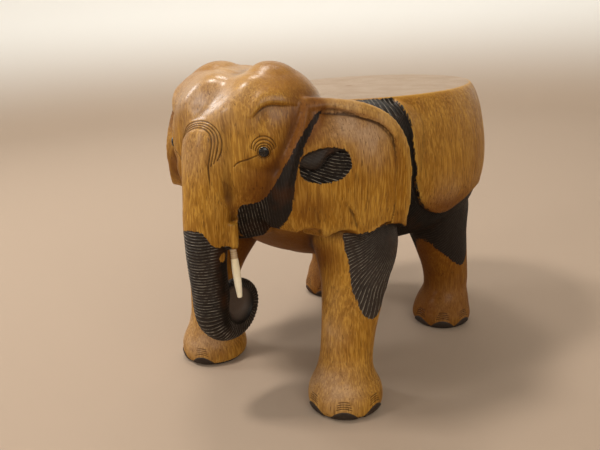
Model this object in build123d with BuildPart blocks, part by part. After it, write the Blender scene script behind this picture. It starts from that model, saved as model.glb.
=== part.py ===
"""Elephant stool carved from one log, with set-in tusks and eyes and glued foot pads.

Frame: the elephant faces -Y, its left side is +X and +Z is up. The origin lies on the
floor, midway between the front of the trunk and the back of the rump. Millimetres.
"""
import math
import os

from build123d import *

# ---------------------------------------------------------------- driving sizes
seat_height = 298.0
seat_half_width = 120.0
seat_half_length = 140.0
seat_centre_y = 70.0
seat_edge_round = 2.5

barrel_half_width = 141.5
barrel_half_length = 150.0
barrel_widest_z = 222.0
belly_height = 125.0

head_height = 342.0
crown_height = 57.0
head_centre_y = -134.0
skull_half_width = 80.0
skull_half_depth = 60.0
skull_widest_z = head_height - crown_height
jaw_height = 178.0
dome_radius = 46.0
dome_spacing = 62.0

chest_height = 132.0

trunk_radius = 18.5
trunk_centre_y = -202.0
trunk_tip_radius = 8.5
curl_height = 70.0
curl_turn_radius = 24.5
curl_web = 13.0

ear_half_width = 136.0
ear_half_length = 194.0
ear_centre_y = -10.0
ear_top = 312.0
ear_hem = 180.0
right_ear_lift = 26.0
ear_front_y = -173.0
ear_rear_y = -53.5
ear_rim_width = 9.0
ear_rim_proud = 2.5
ear_relief = 16.0
ear_thickness = 23.0
ear_root_x = 45.0

front_leg_inset = 46.5
rear_leg_inset = 53.5
foot_half_track = barrel_half_width - front_leg_inset
front_foot_y = -117.0
rear_foot_x = barrel_half_width - rear_leg_inset
rear_foot_y = 110.0
foot_radius = 38.0
ankle_radius = 27.0
ankle_height = 52.0

pad_thickness = 2.0
pad_inset = 2.5

tusk_radius = 3.2
tusk_belly = 0.8
tusk_tip_radius = 2.5
tusk_length = 47.0
tusk_root_x = 24.0
tusk_root_y = -190.0
tusk_root_z = 176.0
tusk_splay = 10.0
tusk_lean = 5.0
tusk_socket_depth = 14.0
lip_radius = 5.4
lip_root_radius = 9.0
lip_length = 24.0
socket_clearance = 0.05

eye_radius = 5.0
eye_proud = 2.5
eye_socket_depth = 5.0
eye_drop = 16.8
eye_height = skull_widest_z - eye_drop
eye_bearing = 47.5

tail_root_z = 262.0
tail_end_z = 152.0
tail_radius = 8.0


# ---------------------------------------------------------------- shared shapes
def oval(x, y, half_width, half_length):
    """Ellipse round (x, y) in the sketch in hand, its seam always on the long axis."""
    with Locations((x, y)):
        Ellipse(half_width, half_length)


def between(low, high, share):
    """Value that lies the given share of the way from low to high."""
    return low + (high - low) * share


# ---------------------------------------------------------------- log: barrel and seat
# Rows rise from the belly to the seat: height, half width and half length.
barrel_rows = [
    (belly_height, 0.34, 0.40),
    (between(belly_height, barrel_widest_z, 0.05), 0.52, 0.56),
    (between(belly_height, barrel_widest_z, 0.15), 0.69, 0.72),
    (between(belly_height, barrel_widest_z, 0.32), 0.85, 0.86),
    (between(belly_height, barrel_widest_z, 0.60), 0.965, 0.96),
    (barrel_widest_z, 1.0, 1.0),
]
with BuildPart() as barrel:
    for height, width_share, length_share in barrel_rows:
        with BuildSketch(Plane.XY.offset(height)):
            oval(0, seat_centre_y, barrel_half_width * width_share, barrel_half_length * length_share)
    with BuildSketch(Plane.XY.offset(between(barrel_widest_z, seat_height, 0.46))):
        oval(
            0,
            seat_centre_y,
            between(seat_half_width, barrel_half_width, 0.80),
            between(seat_half_length, barrel_half_length, 0.85),
        )
    with BuildSketch(Plane.XY.offset(seat_height)):
        oval(0, seat_centre_y, seat_half_width, seat_half_length)
    loft()
    fillet(barrel.faces().sort_by(Axis.Z)[-1].edges(), radius=seat_edge_round)

# ---------------------------------------------------------------- log: neck and chest
# Rows rise from the chest to the shoulder top: height, shift in y, shares of half
# width and half length. The neck backs the ears, which stand proud of it.
neck_half_width = ear_half_width - ear_relief
neck_half_length = ear_half_length - ear_relief
shoulder_top = seat_height - 1.0
neck_rows = [
    (chest_height, -30, 0.35, 0.19),
    (between(chest_height, shoulder_top, 0.06), -40, 0.50, 0.25),
    (between(chest_height, shoulder_top, 0.15), -48, 0.68, 0.33),
    (between(chest_height, shoulder_top, 0.26), -42, 0.82, 0.49),
    (between(chest_height, shoulder_top, 0.35), -20, 0.90, 0.71),
    (between(chest_height, shoulder_top, 0.44), -5, 0.95, 0.85),
    (between(chest_height, shoulder_top, 0.55), 0, 1.0, 0.98),
    (between(chest_height, shoulder_top, 0.72), 0, 1.0, 1.0),
    (between(chest_height, shoulder_top, 0.87), 0, 0.97, 0.975),
    (between(chest_height, shoulder_top, 0.94), 0, 0.91, 0.92),
    (between(chest_height, shoulder_top, 0.98), 2, 0.83, 0.85),
    (shoulder_top, 4, 0.72, 0.74),
]
with BuildPart() as neck:
    for height, shift_y, width_share, length_share in neck_rows:
        with BuildSketch(Plane.XY.offset(height)):
            oval(
                0,
                ear_centre_y + shift_y,
                neck_half_width * width_share,
                neck_half_length * length_share,
            )
    loft()

# ---------------------------------------------------------------- log: skull and two domes
skull_rows = [
    (jaw_height, -9, 0.34, 0.52),
    (between(jaw_height, skull_widest_z, 0.09), -8, 0.48, 0.70),
    (between(jaw_height, skull_widest_z, 0.25), -6, 0.63, 0.87),
    (between(jaw_height, skull_widest_z, 0.45), -4, 0.79, 1.0),
    (between(jaw_height, skull_widest_z, 0.65), -2, 0.92, 1.06),
    (between(jaw_height, skull_widest_z, 0.85), 0, 1.0, 1.06),
    (skull_widest_z, 0, 1.02, 1.03),
    (between(skull_widest_z, head_height, 0.38), 0, 1.0, 0.96),
    (between(skull_widest_z, head_height, 0.56), 0, 0.93, 0.87),
    (between(skull_widest_z, head_height, 0.74), 0, 0.80, 0.74),
    (between(skull_widest_z, head_height, 0.86), 2, 0.62, 0.56),
    (between(skull_widest_z, head_height, 0.91), 3, 0.42, 0.36),
]
with BuildPart() as skull:
    for height, shift_y, width_share, depth_share in skull_rows:
        with BuildSketch(Plane.XY.offset(height)):
            oval(
                0,
                head_centre_y + shift_y,
                skull_half_width * width_share,
                skull_half_depth * depth_share,
            )
    loft()

dome_height = head_height - skull_widest_z
with BuildPart() as dome:
    with BuildSketch(Plane.XZ):
        Ellipse(dome_radius, dome_height)
        with Locations((-dome_radius, 0)):
            Rectangle(2 * dome_radius, 2 * dome_height, mode=Mode.SUBTRACT)
    revolve(axis=Axis.Z)

# ---------------------------------------------------------------- log: trunk
# Centre line from inside the brow, down the face and round the curl, with the
# trunk's radius across and along the face at each point.
curl_centre_y = trunk_centre_y + curl_turn_radius + 2
curl_centre_z = curl_height + trunk_radius + curl_turn_radius - 1
trunk_rows = [
    (head_centre_y - 12, skull_widest_z + 28, 30, 26),
    (head_centre_y - 42, skull_widest_z - 8, 29, 26),
    (trunk_centre_y + 15, between(jaw_height, skull_widest_z, 0.55), 27, 24.5),
    (trunk_centre_y + 8, between(jaw_height, skull_widest_z, 0.32), 25, 22.5),
    (trunk_centre_y + 2, between(jaw_height, skull_widest_z, 0.06), 22, 20),
    (trunk_centre_y, jaw_height - 26, trunk_radius, trunk_radius),
    (trunk_centre_y + 1, jaw_height - 48, trunk_radius, trunk_radius - 0.5),
]
# Round the curl: degrees turned, share of the turn radius, share of the taper.
curl_rows = [
    (22, 1.00, 0.03),
    (52, 0.98, 0.10),
    (84, 0.96, 0.22),
    (118, 0.95, 0.34),
    (150, 0.93, 0.46),
    (182, 0.86, 0.59),
    (215, 0.65, 0.73),
    (248, 0.52, 0.87),
    (278, 0.42, 1.00),
]
trunk_knots = [(0, y, z) for y, z, across, along in trunk_rows]
trunk_radii = [(across, along) for y, z, across, along in trunk_rows]
for turn, radius_share, taper in curl_rows:
    turn_radius = curl_turn_radius * radius_share
    turn_angle = math.radians(turn)
    trunk_knots.append(
        (
            0,
            curl_centre_y - turn_radius * math.cos(turn_angle),
            curl_centre_z - turn_radius * math.sin(turn_angle),
        )
    )
    tapered = between(trunk_radius - 0.5, trunk_tip_radius, taper)
    trunk_radii.append((tapered + 0.01, tapered))

with BuildLine() as trunk_line:
    Spline(trunk_knots)
with BuildPart() as trunk:
    path = trunk_line.wires()[0]
    for knot, (across, along) in zip(trunk_knots, trunk_radii):
        heading = path.tangent_at(path.param_at_point(knot))
        with BuildSketch(Plane(origin=knot, x_dir=(1, 0, 0), z_dir=heading)):
            oval(0, 0, across, along)
    loft()
    with Locations(trunk_knots[-1]):
        Sphere(trunk_tip_radius - 0.2)
    with Locations(Plane((0, curl_centre_y, curl_centre_z), x_dir=(0, 1, 0), z_dir=(1, 0, 0))):
        Cylinder(curl_turn_radius * 0.75, curl_web)

# ---------------------------------------------------------------- log: ears
# The ear's face lies on a tall oval blank, and its outline is sawn across it.
blank_rows = [
    (ear_hem - 14, 0.955),
    (between(ear_hem, ear_top, 0.2), 1.0),
    (between(ear_hem, ear_top, 0.6), 1.0),
    (between(ear_hem, ear_top, 0.85), 0.955),
    (ear_top + 8, 0.85),
]


def ear_blank(proud):
    """Oval column whose side is the face of the ear, grown outward by proud."""
    with BuildPart() as blank:
        for height, share in blank_rows:
            with BuildSketch(Plane.XY.offset(height)):
                oval(
                    0,
                    ear_centre_y,
                    ear_half_width * share + proud,
                    ear_half_length * share + proud,
                )
        loft()
    return blank.part


ear_length = ear_rear_y - ear_front_y


def ear_outline(side, inset):
    """Ear seen from its side, drawn in by inset along its rolled rim."""
    front = ear_front_y
    rear = ear_rear_y - inset
    top = ear_top - inset
    hem = ear_hem + (right_ear_lift if side < 0 else 0)
    with BuildSketch(Plane.YZ.offset(side * ear_root_x)) as outline:
        with BuildLine():
            rim = Spline(
                (front + 0.24 * ear_length, top),
                (front + 0.43 * ear_length, top - 3),
                (between(front, rear, 0.75), top - 16),
                (between(front, rear, 0.93), top - 39),
                (rear, between(hem, top, 0.44)),
                (rear, between(hem, top, 0.18)),
                (rear - 0.02 * ear_length, hem - 4),
            )
            hem_1 = ThreePointArc(
                rim @ 1, (front + 0.74 * ear_length, hem + 6), (front + 0.54 * ear_length, hem - 4)
            )
            hem_2 = ThreePointArc(
                hem_1 @ 1, (front + 0.40 * ear_length, hem + 9), (front + 0.26 * ear_length, hem + 4)
            )
            hem_3 = ThreePointArc(
                hem_2 @ 1, (front + 0.17 * ear_length, hem + 16), (front + 0.08 * ear_length, hem + 13)
            )
            Spline(
                hem_3 @ 1,
                (front, between(hem, top, 0.34)),
                (front + 0.07 * ear_length, between(hem, top, 0.66)),
                rim @ 0,
            )
        make_face()
    return outline.sketch


def ear_flap(side, sawn_outline, blank, inner_blank):
    """Flap of the ear on one side: side is 1 for the left ear and -1 for the right."""
    with BuildPart() as flap:
        extrude(sawn_outline, amount=side * ear_half_width)
        add(blank, mode=Mode.INTERSECT)
        add(inner_blank, mode=Mode.SUBTRACT)
    return flap.part


def ear_rim(side, sawn_outline, inner_outline, blank, inner_blank):
    """Rolled rim that stands proud round the top and back of the ear."""
    with BuildPart() as rim:
        extrude(sawn_outline, amount=side * ear_half_width)
        extrude(inner_outline, amount=side * ear_half_width, mode=Mode.SUBTRACT)
        add(blank, mode=Mode.INTERSECT)
        add(inner_blank, mode=Mode.SUBTRACT)
    return rim.part


flap_blank = ear_blank(0)
rim_blank = ear_blank(ear_rim_proud)
root_blank = ear_blank(-ear_thickness)
ear_pieces = []
for side in (-1, 1):
    sawn = ear_outline(side, 0)
    inner = ear_outline(side, ear_rim_width)
    ear_pieces.append(ear_flap(side, sawn, flap_blank, root_blank))
    ear_pieces.append(ear_rim(side, sawn, inner, rim_blank, root_blank))


# ---------------------------------------------------------------- log: legs
# Rows rise from the sole: height, shift inward in x, shift in y, half width, half length.
leg_top = between(belly_height, barrel_widest_z, 0.8)
foot_top = pad_thickness + 20.0
front_sole_radius = foot_radius - 3.0
rear_sole_radius = foot_radius - 4.5
front_leg_rows = [
    (pad_thickness, 0, 0, front_sole_radius, None),
    (pad_thickness + 4, 0, 0, foot_radius - 0.6, None),
    (pad_thickness + 11, 0, 0, foot_radius, None),
    (foot_top, 0, 0, foot_radius - 1.5, None),
    (between(foot_top, ankle_height, 0.33), 0, 0, between(ankle_radius, foot_radius, 0.45), None),
    (between(foot_top, ankle_height, 0.66), 0, 1, between(ankle_radius, foot_radius, 0.12), None),
    (ankle_height, 0, 3, ankle_radius, None),
    (between(ankle_height, leg_top, 0.28), 1, 11, ankle_radius + 1.5, ankle_radius + 2),
    (between(ankle_height, leg_top, 0.50), -3, 27, ankle_radius + 7, ankle_radius + 9),
    (between(ankle_height, leg_top, 0.72), -10.5, 40, ankle_radius + 14.5, ankle_radius + 19),
    (between(ankle_height, leg_top, 0.90), -23, 47, ankle_radius + 18, ankle_radius + 25),
    (leg_top + 8, -33, 48, ankle_radius + 10, ankle_radius + 18),
]
rear_leg_rows = [
    (pad_thickness, 0, 0, rear_sole_radius, None),
    (pad_thickness + 4, 0, 0, foot_radius - 2.5, None),
    (pad_thickness + 11, 0, 0, foot_radius - 2, None),
    (foot_top, 0, 1, foot_radius - 4, None),
    (between(foot_top, ankle_height, 0.33), 1, 2, between(ankle_radius, foot_radius, 0.40), None),
    (between(foot_top, ankle_height, 0.66), 2, 4, between(ankle_radius, foot_radius, 0.08), None),
    (ankle_height, 2, 6, ankle_radius, None),
    (between(ankle_height, leg_top, 0.20), 0, 3, ankle_radius + 1.5, ankle_radius + 5),
    (between(ankle_height, leg_top, 0.38), -2, -4, ankle_radius + 4, ankle_radius + 12),
    (between(ankle_height, leg_top, 0.56), -4, -11, ankle_radius + 8, ankle_radius + 21),
    (between(ankle_height, leg_top, 0.72), -8, -15, ankle_radius + 13, ankle_radius + 30),
    (between(ankle_height, leg_top, 0.86), -14, -20, ankle_radius + 11, ankle_radius + 30),
    (leg_top, -24, -28, ankle_radius + 6, ankle_radius + 24),
]


def leg(rows, foot_x, foot_y):
    """Leg lofted from its sole into the barrel, over the foot centred at (foot_x, foot_y)."""
    side = math.copysign(1, foot_x)
    with BuildPart() as limb:
        for height, shift_x, shift_y, half_width, half_length in rows:
            long_side = (half_length or half_width) + 0.01
            centre = (foot_x + side * shift_x, foot_y + shift_y, height)
            with BuildSketch(Plane(origin=centre, x_dir=(0, 1, 0), z_dir=(0, 0, 1))):
                oval(0, 0, long_side, half_width)
        loft()
    return limb.part


legs = []
for side in (-1, 1):
    legs.append(leg(front_leg_rows, side * foot_half_track, front_foot_y))
    legs.append(leg(rear_leg_rows, side * rear_foot_x, rear_foot_y))

# ---------------------------------------------------------------- log: tail on the rump
rump_y = seat_centre_y + barrel_half_length
tail_rows = [
    (tail_root_z, rump_y - 7, 0.9, 0.8),
    (between(tail_end_z, tail_root_z, 0.72), rump_y - 7.2, 0.85, 0.8),
    (between(tail_end_z, tail_root_z, 0.46), rump_y - 7.6, 0.8, 0.8),
    (between(tail_end_z, tail_root_z, 0.28), rump_y - 9, 1.2, 1.0),
    (between(tail_end_z, tail_root_z, 0.12), rump_y - 16, 1.3, 1.0),
    (tail_end_z, rump_y - 22, 0.6, 0.5),
]
with BuildPart() as tail:
    for height, centre_y, width_share, depth_share in tail_rows:
        with BuildSketch(Plane.XY.offset(height)):
            oval(0, centre_y, tail_radius * width_share + 0.01, tail_radius * depth_share)
    loft()

# ---------------------------------------------------------------- seats of the set-in pieces
def on_side(side, point):
    """Point or direction of the left side, carried to the side asked for."""
    return (side * point[0], point[1], point[2])


# The eye sits on the skull's oval at its own height, square to the surface.
eye_oval_width = skull_half_width
eye_oval_depth = skull_half_depth * 1.06
eye_angle = math.radians(eye_bearing)
eye_point = (
    eye_oval_width * math.sin(eye_angle),
    head_centre_y - eye_oval_depth * math.cos(eye_angle),
    eye_height,
)
eye_outward = (math.sin(eye_angle) / eye_oval_width, -math.cos(eye_angle) / eye_oval_depth, 0)
tusk_point = (tusk_root_x, tusk_root_y, tusk_root_z)
tusk_outward = (
    math.sin(math.radians(tusk_splay)),
    -math.sin(math.radians(tusk_lean)),
    -math.cos(math.radians(tusk_splay)),
)
eye_seats = {}
tusk_seats = {}
for side in (-1, 1):
    eye_seats[side] = Plane(
        origin=on_side(side, eye_point), x_dir=(0, 0, 1), z_dir=on_side(side, eye_outward)
    )
    tusk_seats[side] = Plane(
        origin=on_side(side, tusk_point), x_dir=(0, 1, 0), z_dir=on_side(side, tusk_outward)
    )

# ---------------------------------------------------------------- log: lips that hold the tusks
lips = []
for seat in tusk_seats.values():
    with BuildPart() as lip:
        with BuildSketch(seat):
            Circle(lip_radius)
        with BuildSketch(seat.offset(-lip_length)):
            Circle(lip_root_radius)
        loft()
    lips.append(lip.part)

# ---------------------------------------------------------------- log: the whole carving
with BuildPart() as carved_body:
    add(barrel.part)
    add(neck.part)
    add(skull.part)
    for side in (-1, 1):
        with Locations((side * dome_spacing / 2, head_centre_y, skull_widest_z)):
            add(dome.part)
    add(trunk.part)
    add(lips)
    add(ear_pieces)
    add(legs)
    add(tail.part)
    for side in (-1, 1):
        with Locations(tusk_seats[side].location):
            Hole(tusk_radius + socket_clearance, depth=tusk_socket_depth + socket_clearance)
        with Locations(eye_seats[side].location):
            Hole(eye_radius + socket_clearance, depth=eye_socket_depth + socket_clearance)

# ---------------------------------------------------------------- tusk: peg and tapered shaft
with BuildPart() as tusk:
    with BuildSketch(Plane.XZ):
        with BuildLine():
            peg_end = Line((0, -tusk_socket_depth), (tusk_radius, -tusk_socket_depth))
            peg_side = Line(peg_end @ 1, (tusk_radius, 0))
            shaft = ThreePointArc(
                peg_side @ 1,
                (tusk_radius + tusk_belly, 0.45 * tusk_length),
                (tusk_tip_radius, tusk_length - tusk_tip_radius),
            )
            tip = CenterArc((0, tusk_length - tusk_tip_radius), tusk_tip_radius, 0, 90)
            Line(tip @ 1, peg_end @ 0)
        make_face()
    revolve(axis=Axis.Z)

# ---------------------------------------------------------------- eye: domed bead
eye_back_radius = eye_radius - 0.8
with BuildPart() as eye:
    with BuildSketch(Plane.XZ):
        with BuildLine():
            back = Line((0, -eye_socket_depth), (eye_back_radius, -eye_socket_depth))
            side_wall = Line(back @ 1, (eye_radius, 0))
            front = RadiusArc(
                side_wall @ 1,
                (0, eye_proud),
                -(eye_radius**2 + eye_proud**2) / (2 * eye_proud),
            )
            Line(front @ 1, back @ 0)
        make_face()
    revolve(axis=Axis.Z)

# ---------------------------------------------------------------- nodes
side_names = {1: "left", -1: "right"}
pieces = {"carved_body": carved_body.part}
for side, side_name in side_names.items():
    with BuildPart() as set_tusk:
        with Locations(tusk_seats[side].location):
            add(tusk.part)
    pieces[f"tusk_{side_name}"] = set_tusk.part
    with BuildPart() as set_eye:
        with Locations(eye_seats[side].location):
            add(eye.part)
    pieces[f"eye_{side_name}"] = set_eye.part
    for end_name, foot_x, foot_y, sole_radius in (
        ("front", foot_half_track, front_foot_y, front_sole_radius),
        ("rear", rear_foot_x, rear_foot_y, rear_sole_radius),
    ):
        with BuildPart() as pad:
            with BuildSketch(Plane.XY):
                with Locations((side * foot_x, foot_y)):
                    Circle(sole_radius - pad_inset)
            extrude(amount=pad_thickness)
        pieces[f"foot_pad_{end_name}_{side_name}"] = pad.part

os.makedirs("parts", exist_ok=True)
for node, piece in pieces.items():
    piece.label = node
    export_step(piece, f"parts/{node}.step")
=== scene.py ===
"""Looks of the elephant stool: the carved log, its tusks and eyes, the foot pads and the studio.

The elephant faces -Y, its left side is +X and +Z is up. Sizes in the classes are millimetres,
as a carver would mark them, and meshes are metres.
"""

import logging
import math
from dataclasses import dataclass, field
from enum import Enum
from typing import Sequence

import bmesh
import bpy
import numpy as np
from bpy.types import Material, Mesh, Node, NodeSocket, NodeTree, Object
from mathutils import Matrix, Vector

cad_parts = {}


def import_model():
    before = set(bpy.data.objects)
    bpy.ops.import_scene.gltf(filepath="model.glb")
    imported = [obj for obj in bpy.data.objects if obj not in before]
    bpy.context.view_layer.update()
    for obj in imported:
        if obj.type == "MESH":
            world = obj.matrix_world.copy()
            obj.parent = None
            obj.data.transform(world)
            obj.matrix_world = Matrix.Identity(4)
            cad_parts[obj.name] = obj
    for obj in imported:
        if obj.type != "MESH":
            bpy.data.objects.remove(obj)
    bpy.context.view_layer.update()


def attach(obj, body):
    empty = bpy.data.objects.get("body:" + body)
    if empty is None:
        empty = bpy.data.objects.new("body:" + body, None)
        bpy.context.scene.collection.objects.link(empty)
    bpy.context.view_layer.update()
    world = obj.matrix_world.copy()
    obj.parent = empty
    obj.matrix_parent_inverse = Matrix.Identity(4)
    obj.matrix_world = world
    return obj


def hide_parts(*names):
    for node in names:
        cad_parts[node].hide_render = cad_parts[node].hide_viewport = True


log = logging.getLogger("elephant_stool")

Pair = tuple[float, float]
Triple = tuple[float, float, float]
Line2 = tuple[Pair, ...]
Line3 = tuple[Triple, ...]
Colour = tuple[float, float, float, float]
Ring = tuple[float, float, Pair]
PerVertex = np.ndarray | float
HairPatch = tuple[np.ndarray, np.ndarray, PerVertex, PerVertex, PerVertex]

MM = 0.001
ROOT = "root"


class Side(Enum):
    """The elephant's own left and right, with the sign of x on that side."""

    LEFT = 1
    RIGHT = -1

    @property
    def word(self) -> str:
        """Name of the side as the frame's nodes spell it."""
        return self.name.lower()


# ---------------------------------------------------------------- drawing on the surface
def fade(value: np.ndarray, start: float, end: float) -> np.ndarray:
    """Smooth ramp.

    Args:
        value: numbers to ramp.
        start: value where the ramp is 0.
        end: value where the ramp is 1; it may be below start.

    Returns:
        Numbers from 0 to 1.
    """
    share = np.clip((value - start) / (end - start), 0.0, 1.0)
    return share * share * (3.0 - 2.0 * share)


def rounded(line: Sequence[Sequence[float]], rounds: int = 2, closed: bool = False) -> np.ndarray:
    """Cuts the corners off a line, as a knife would follow it.

    Args:
        line: corner points.
        rounds: how often the corners are cut.
        closed: whether the last point joins the first.

    Returns:
        The points of the rounded line.
    """
    points = np.array(line, float)
    for _ in range(rounds):
        start = points if closed else points[:-1]
        end = np.roll(points, -1, axis=0) if closed else points[1:]
        cut = np.empty((2 * len(start), points.shape[1]))
        cut[0::2] = 0.75 * start + 0.25 * end
        cut[1::2] = 0.25 * start + 0.75 * end
        points = cut if closed else np.vstack([points[:1], cut, points[-1:]])
    return points


def read_line(at: np.ndarray, line: Line2) -> np.ndarray:
    """Reads the second number of a line of pairs at any first number."""
    first, second = np.array(line, float).T
    return np.interp(at, first, second)


def distance_to_line(spots: np.ndarray, line: np.ndarray, reach: float, closed: bool = False) -> np.ndarray:
    """Distance from each spot to a line of points, in 2-D or 3-D.

    Args:
        spots: one row for each spot.
        line: the line's points.
        reach: distances beyond this come out as reach.
        closed: whether the last point joins the first.

    Returns:
        One distance for each spot.
    """
    nearest = np.full(len(spots), reach)
    low, high = line.min(0) - reach, line.max(0) + reach
    near = np.flatnonzero(((spots > low) & (spots < high)).all(1))
    if len(near) == 0:
        return nearest
    close = spots[near]
    ends = np.vstack([line[1:], line[:1]]) if closed else line[1:]
    starts = line if closed else line[:-1]
    best = np.full(len(near), reach)
    for start, end in zip(starts, ends):
        run = end - start
        share = np.clip(((close - start) @ run) / max(run @ run, 1e-12), 0.0, 1.0)
        best = np.minimum(best, np.linalg.norm(close - start - share[:, None] * run, axis=1))
    nearest[near] = best
    return nearest


def depth_in_patch(spots: np.ndarray, outline: Sequence[Pair], reach: float = 30.0) -> np.ndarray:
    """Signed distance to a patch's outline.

    Args:
        spots: 2-D spots.
        outline: corners of the patch in order.
        reach: distances are kept within this.

    Returns:
        Millimetres inside the patch, negative outside it.
    """
    line = rounded(outline, 2, closed=True)
    inside = np.zeros(len(spots), bool)
    x, z = spots[:, 0], spots[:, 1]
    previous = line[-1]
    for corner in line:
        (x_1, z_1), (x_2, z_2) = previous, corner
        if z_1 != z_2:
            crosses = ((z_1 > z) != (z_2 > z)) & (x < (x_2 - x_1) * (z - z_1) / (z_2 - z_1) + x_1)
            inside ^= crosses
        previous = corner
    away = distance_to_line(spots, line, reach, closed=True)
    return np.where(inside, away, -away)


class Skin:
    """Vertices of the carving, in millimetres, and the ways a carver changes them."""

    def __init__(self, mesh: Mesh) -> None:
        """Reads the mesh.

        Args:
            mesh: the mesh to carve, in metres.
        """
        self.mesh = mesh
        self.spots = self.read_spots()
        edges = np.empty(2 * len(mesh.edges), np.int32)
        mesh.edges.foreach_get("vertices", edges)
        self.edges = edges.reshape(-1, 2)
        count = len(self.spots)
        self.neighbours = np.bincount(self.edges.ravel(), minlength=count).astype(float)

    def read_spots(self) -> np.ndarray:
        """Returns the mesh's vertices in millimetres."""
        flat = np.empty(3 * len(self.mesh.vertices), np.float32)
        self.mesh.vertices.foreach_get("co", flat)
        return flat.reshape(-1, 3).astype(float) / MM

    def write(self) -> None:
        """Puts the carved vertices back in the mesh."""
        self.mesh.vertices.foreach_set("co", (self.spots * MM).astype(np.float32).ravel())
        self.mesh.update()

    def normals(self) -> np.ndarray:
        """Returns the outward direction at each vertex."""
        self.write()
        flat = np.empty(3 * len(self.mesh.vertices), np.float32)
        self.mesh.vertex_normals.foreach_get("vector", flat)
        return flat.reshape(-1, 3).astype(float)

    def mean_of_neighbours(self, values: np.ndarray) -> np.ndarray:
        """Averages values over each vertex's neighbours.

        Args:
            values: one row for each vertex.

        Returns:
            The averages, in the same shape.
        """
        start, end = self.edges[:, 0], self.edges[:, 1]
        count = len(self.spots)
        table = values.reshape(count, -1)
        mean = np.empty_like(table)
        for column in range(table.shape[1]):
            gathered = np.bincount(start, table[end, column], count)
            gathered += np.bincount(end, table[start, column], count)
            mean[:, column] = gathered / self.neighbours
        return mean.reshape(values.shape)

    def sand(self, rounds: int, freedom: PerVertex = 1.0) -> None:
        """Sands the surface smooth without wearing its thin parts away.

        Args:
            rounds: number of strokes.
            freedom: how far each vertex may be sanded, from 0 to 1.
        """
        allowed = np.broadcast_to(np.asarray(freedom, float), (len(self.spots),))[:, None]
        for _ in range(rounds):
            for share in (0.6, -0.61):
                step = self.mean_of_neighbours(self.spots) - self.spots
                self.spots += share * allowed * step

    def melt(self, rounds: int, freedom: PerVertex = 1.0) -> None:
        """Rounds junctions over, as a rasp does.

        Args:
            rounds: number of strokes.
            freedom: how far each vertex may move, from 0 to 1.
        """
        allowed = np.broadcast_to(np.asarray(freedom, float), (len(self.spots),))[:, None]
        for _ in range(rounds):
            self.spots += 0.5 * allowed * (self.mean_of_neighbours(self.spots) - self.spots)

    def push(self, amount: np.ndarray) -> None:
        """Moves each vertex along its normal.

        Args:
            amount: millimetres outward, negative to cut in.
        """
        self.spots += self.normals() * amount[:, None]

    def sunk_below(self, reach: float, cell: float = 3.0) -> np.ndarray:
        """Measures how far each vertex lies below the surface all round it.

        Args:
            reach: distance over which the surface is averaged, in millimetres.
            cell: size of the boxes that do the averaging.

        Returns:
            Millimetres below the average, negative where the surface stands proud.
        """
        start, end = self.edges[:, 0], self.edges[:, 1]
        length = np.linalg.norm(self.spots[start] - self.spots[end], axis=1)
        count = len(self.spots)
        pitch = (np.bincount(start, length, count) + np.bincount(end, length, count)) / self.neighbours
        low = self.spots.min(0) - 3.5 * reach
        place = (self.spots - low) / cell
        shape = np.ceil(place.max(0) + 3.5 * reach / cell).astype(int) + 2
        box = place.astype(int)
        share = place - box
        corners = []
        for corner in range(8):
            offset = np.array((corner & 1, corner >> 1 & 1, corner >> 2 & 1))
            index = np.ravel_multi_index((box + offset).T, shape)
            corners.append((index, np.prod(np.where(offset, share, 1.0 - share), axis=1)))
        steps = int(2.5 * reach / cell)
        bell = np.exp(-0.5 * (np.arange(-steps, steps + 1) * cell / reach) ** 2)
        columns = []
        for values in (np.ones(count), *self.spots.T):
            grid = np.zeros(int(shape.prod()))
            for index, weight in corners:
                grid += np.bincount(index, weight * values * pitch**2, len(grid))
            grid = grid.reshape(shape)
            for axis in range(3):
                blurred = np.zeros_like(grid)
                for step, weight in zip(range(-steps, steps + 1), bell):
                    blurred += weight * np.roll(grid, step, axis)
                grid = blurred
            flat = grid.ravel()
            columns.append(sum(weight * flat[index] for index, weight in corners))
        mean = np.stack(columns[1:], 1) / columns[0][:, None]
        return ((mean - self.spots) * self.normals()).sum(1)

    def store(self, name: str, values: np.ndarray) -> None:
        """Keeps one number for each vertex for the material to read.

        Args:
            name: the attribute's name.
            values: the numbers.
        """
        attribute = self.mesh.attributes.new(name, "FLOAT", "POINT")
        attribute.data.foreach_set("value", values.astype(np.float32))

    @property
    def side_view(self) -> np.ndarray:
        """Length and height of each vertex, as seen from the side."""
        return self.spots[:, 1:3]

    @property
    def front_view(self) -> np.ndarray:
        """Place across and height of each vertex, as seen from the front."""
        return np.stack([self.spots[:, 0], self.spots[:, 2]], 1)

    @property
    def quarter_view(self) -> np.ndarray:
        """Both sides of the carving as seen from three quarters in front: across and up."""
        across = 0.78 * np.abs(self.spots[:, 0]) + 0.62 * self.spots[:, 1]
        return np.stack([across, self.spots[:, 2]], 1)

    @property
    def folded(self) -> np.ndarray:
        """Vertices with the right side laid over the left."""
        return np.stack([np.abs(self.spots[:, 0]), self.spots[:, 1], self.spots[:, 2]], 1)


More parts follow.
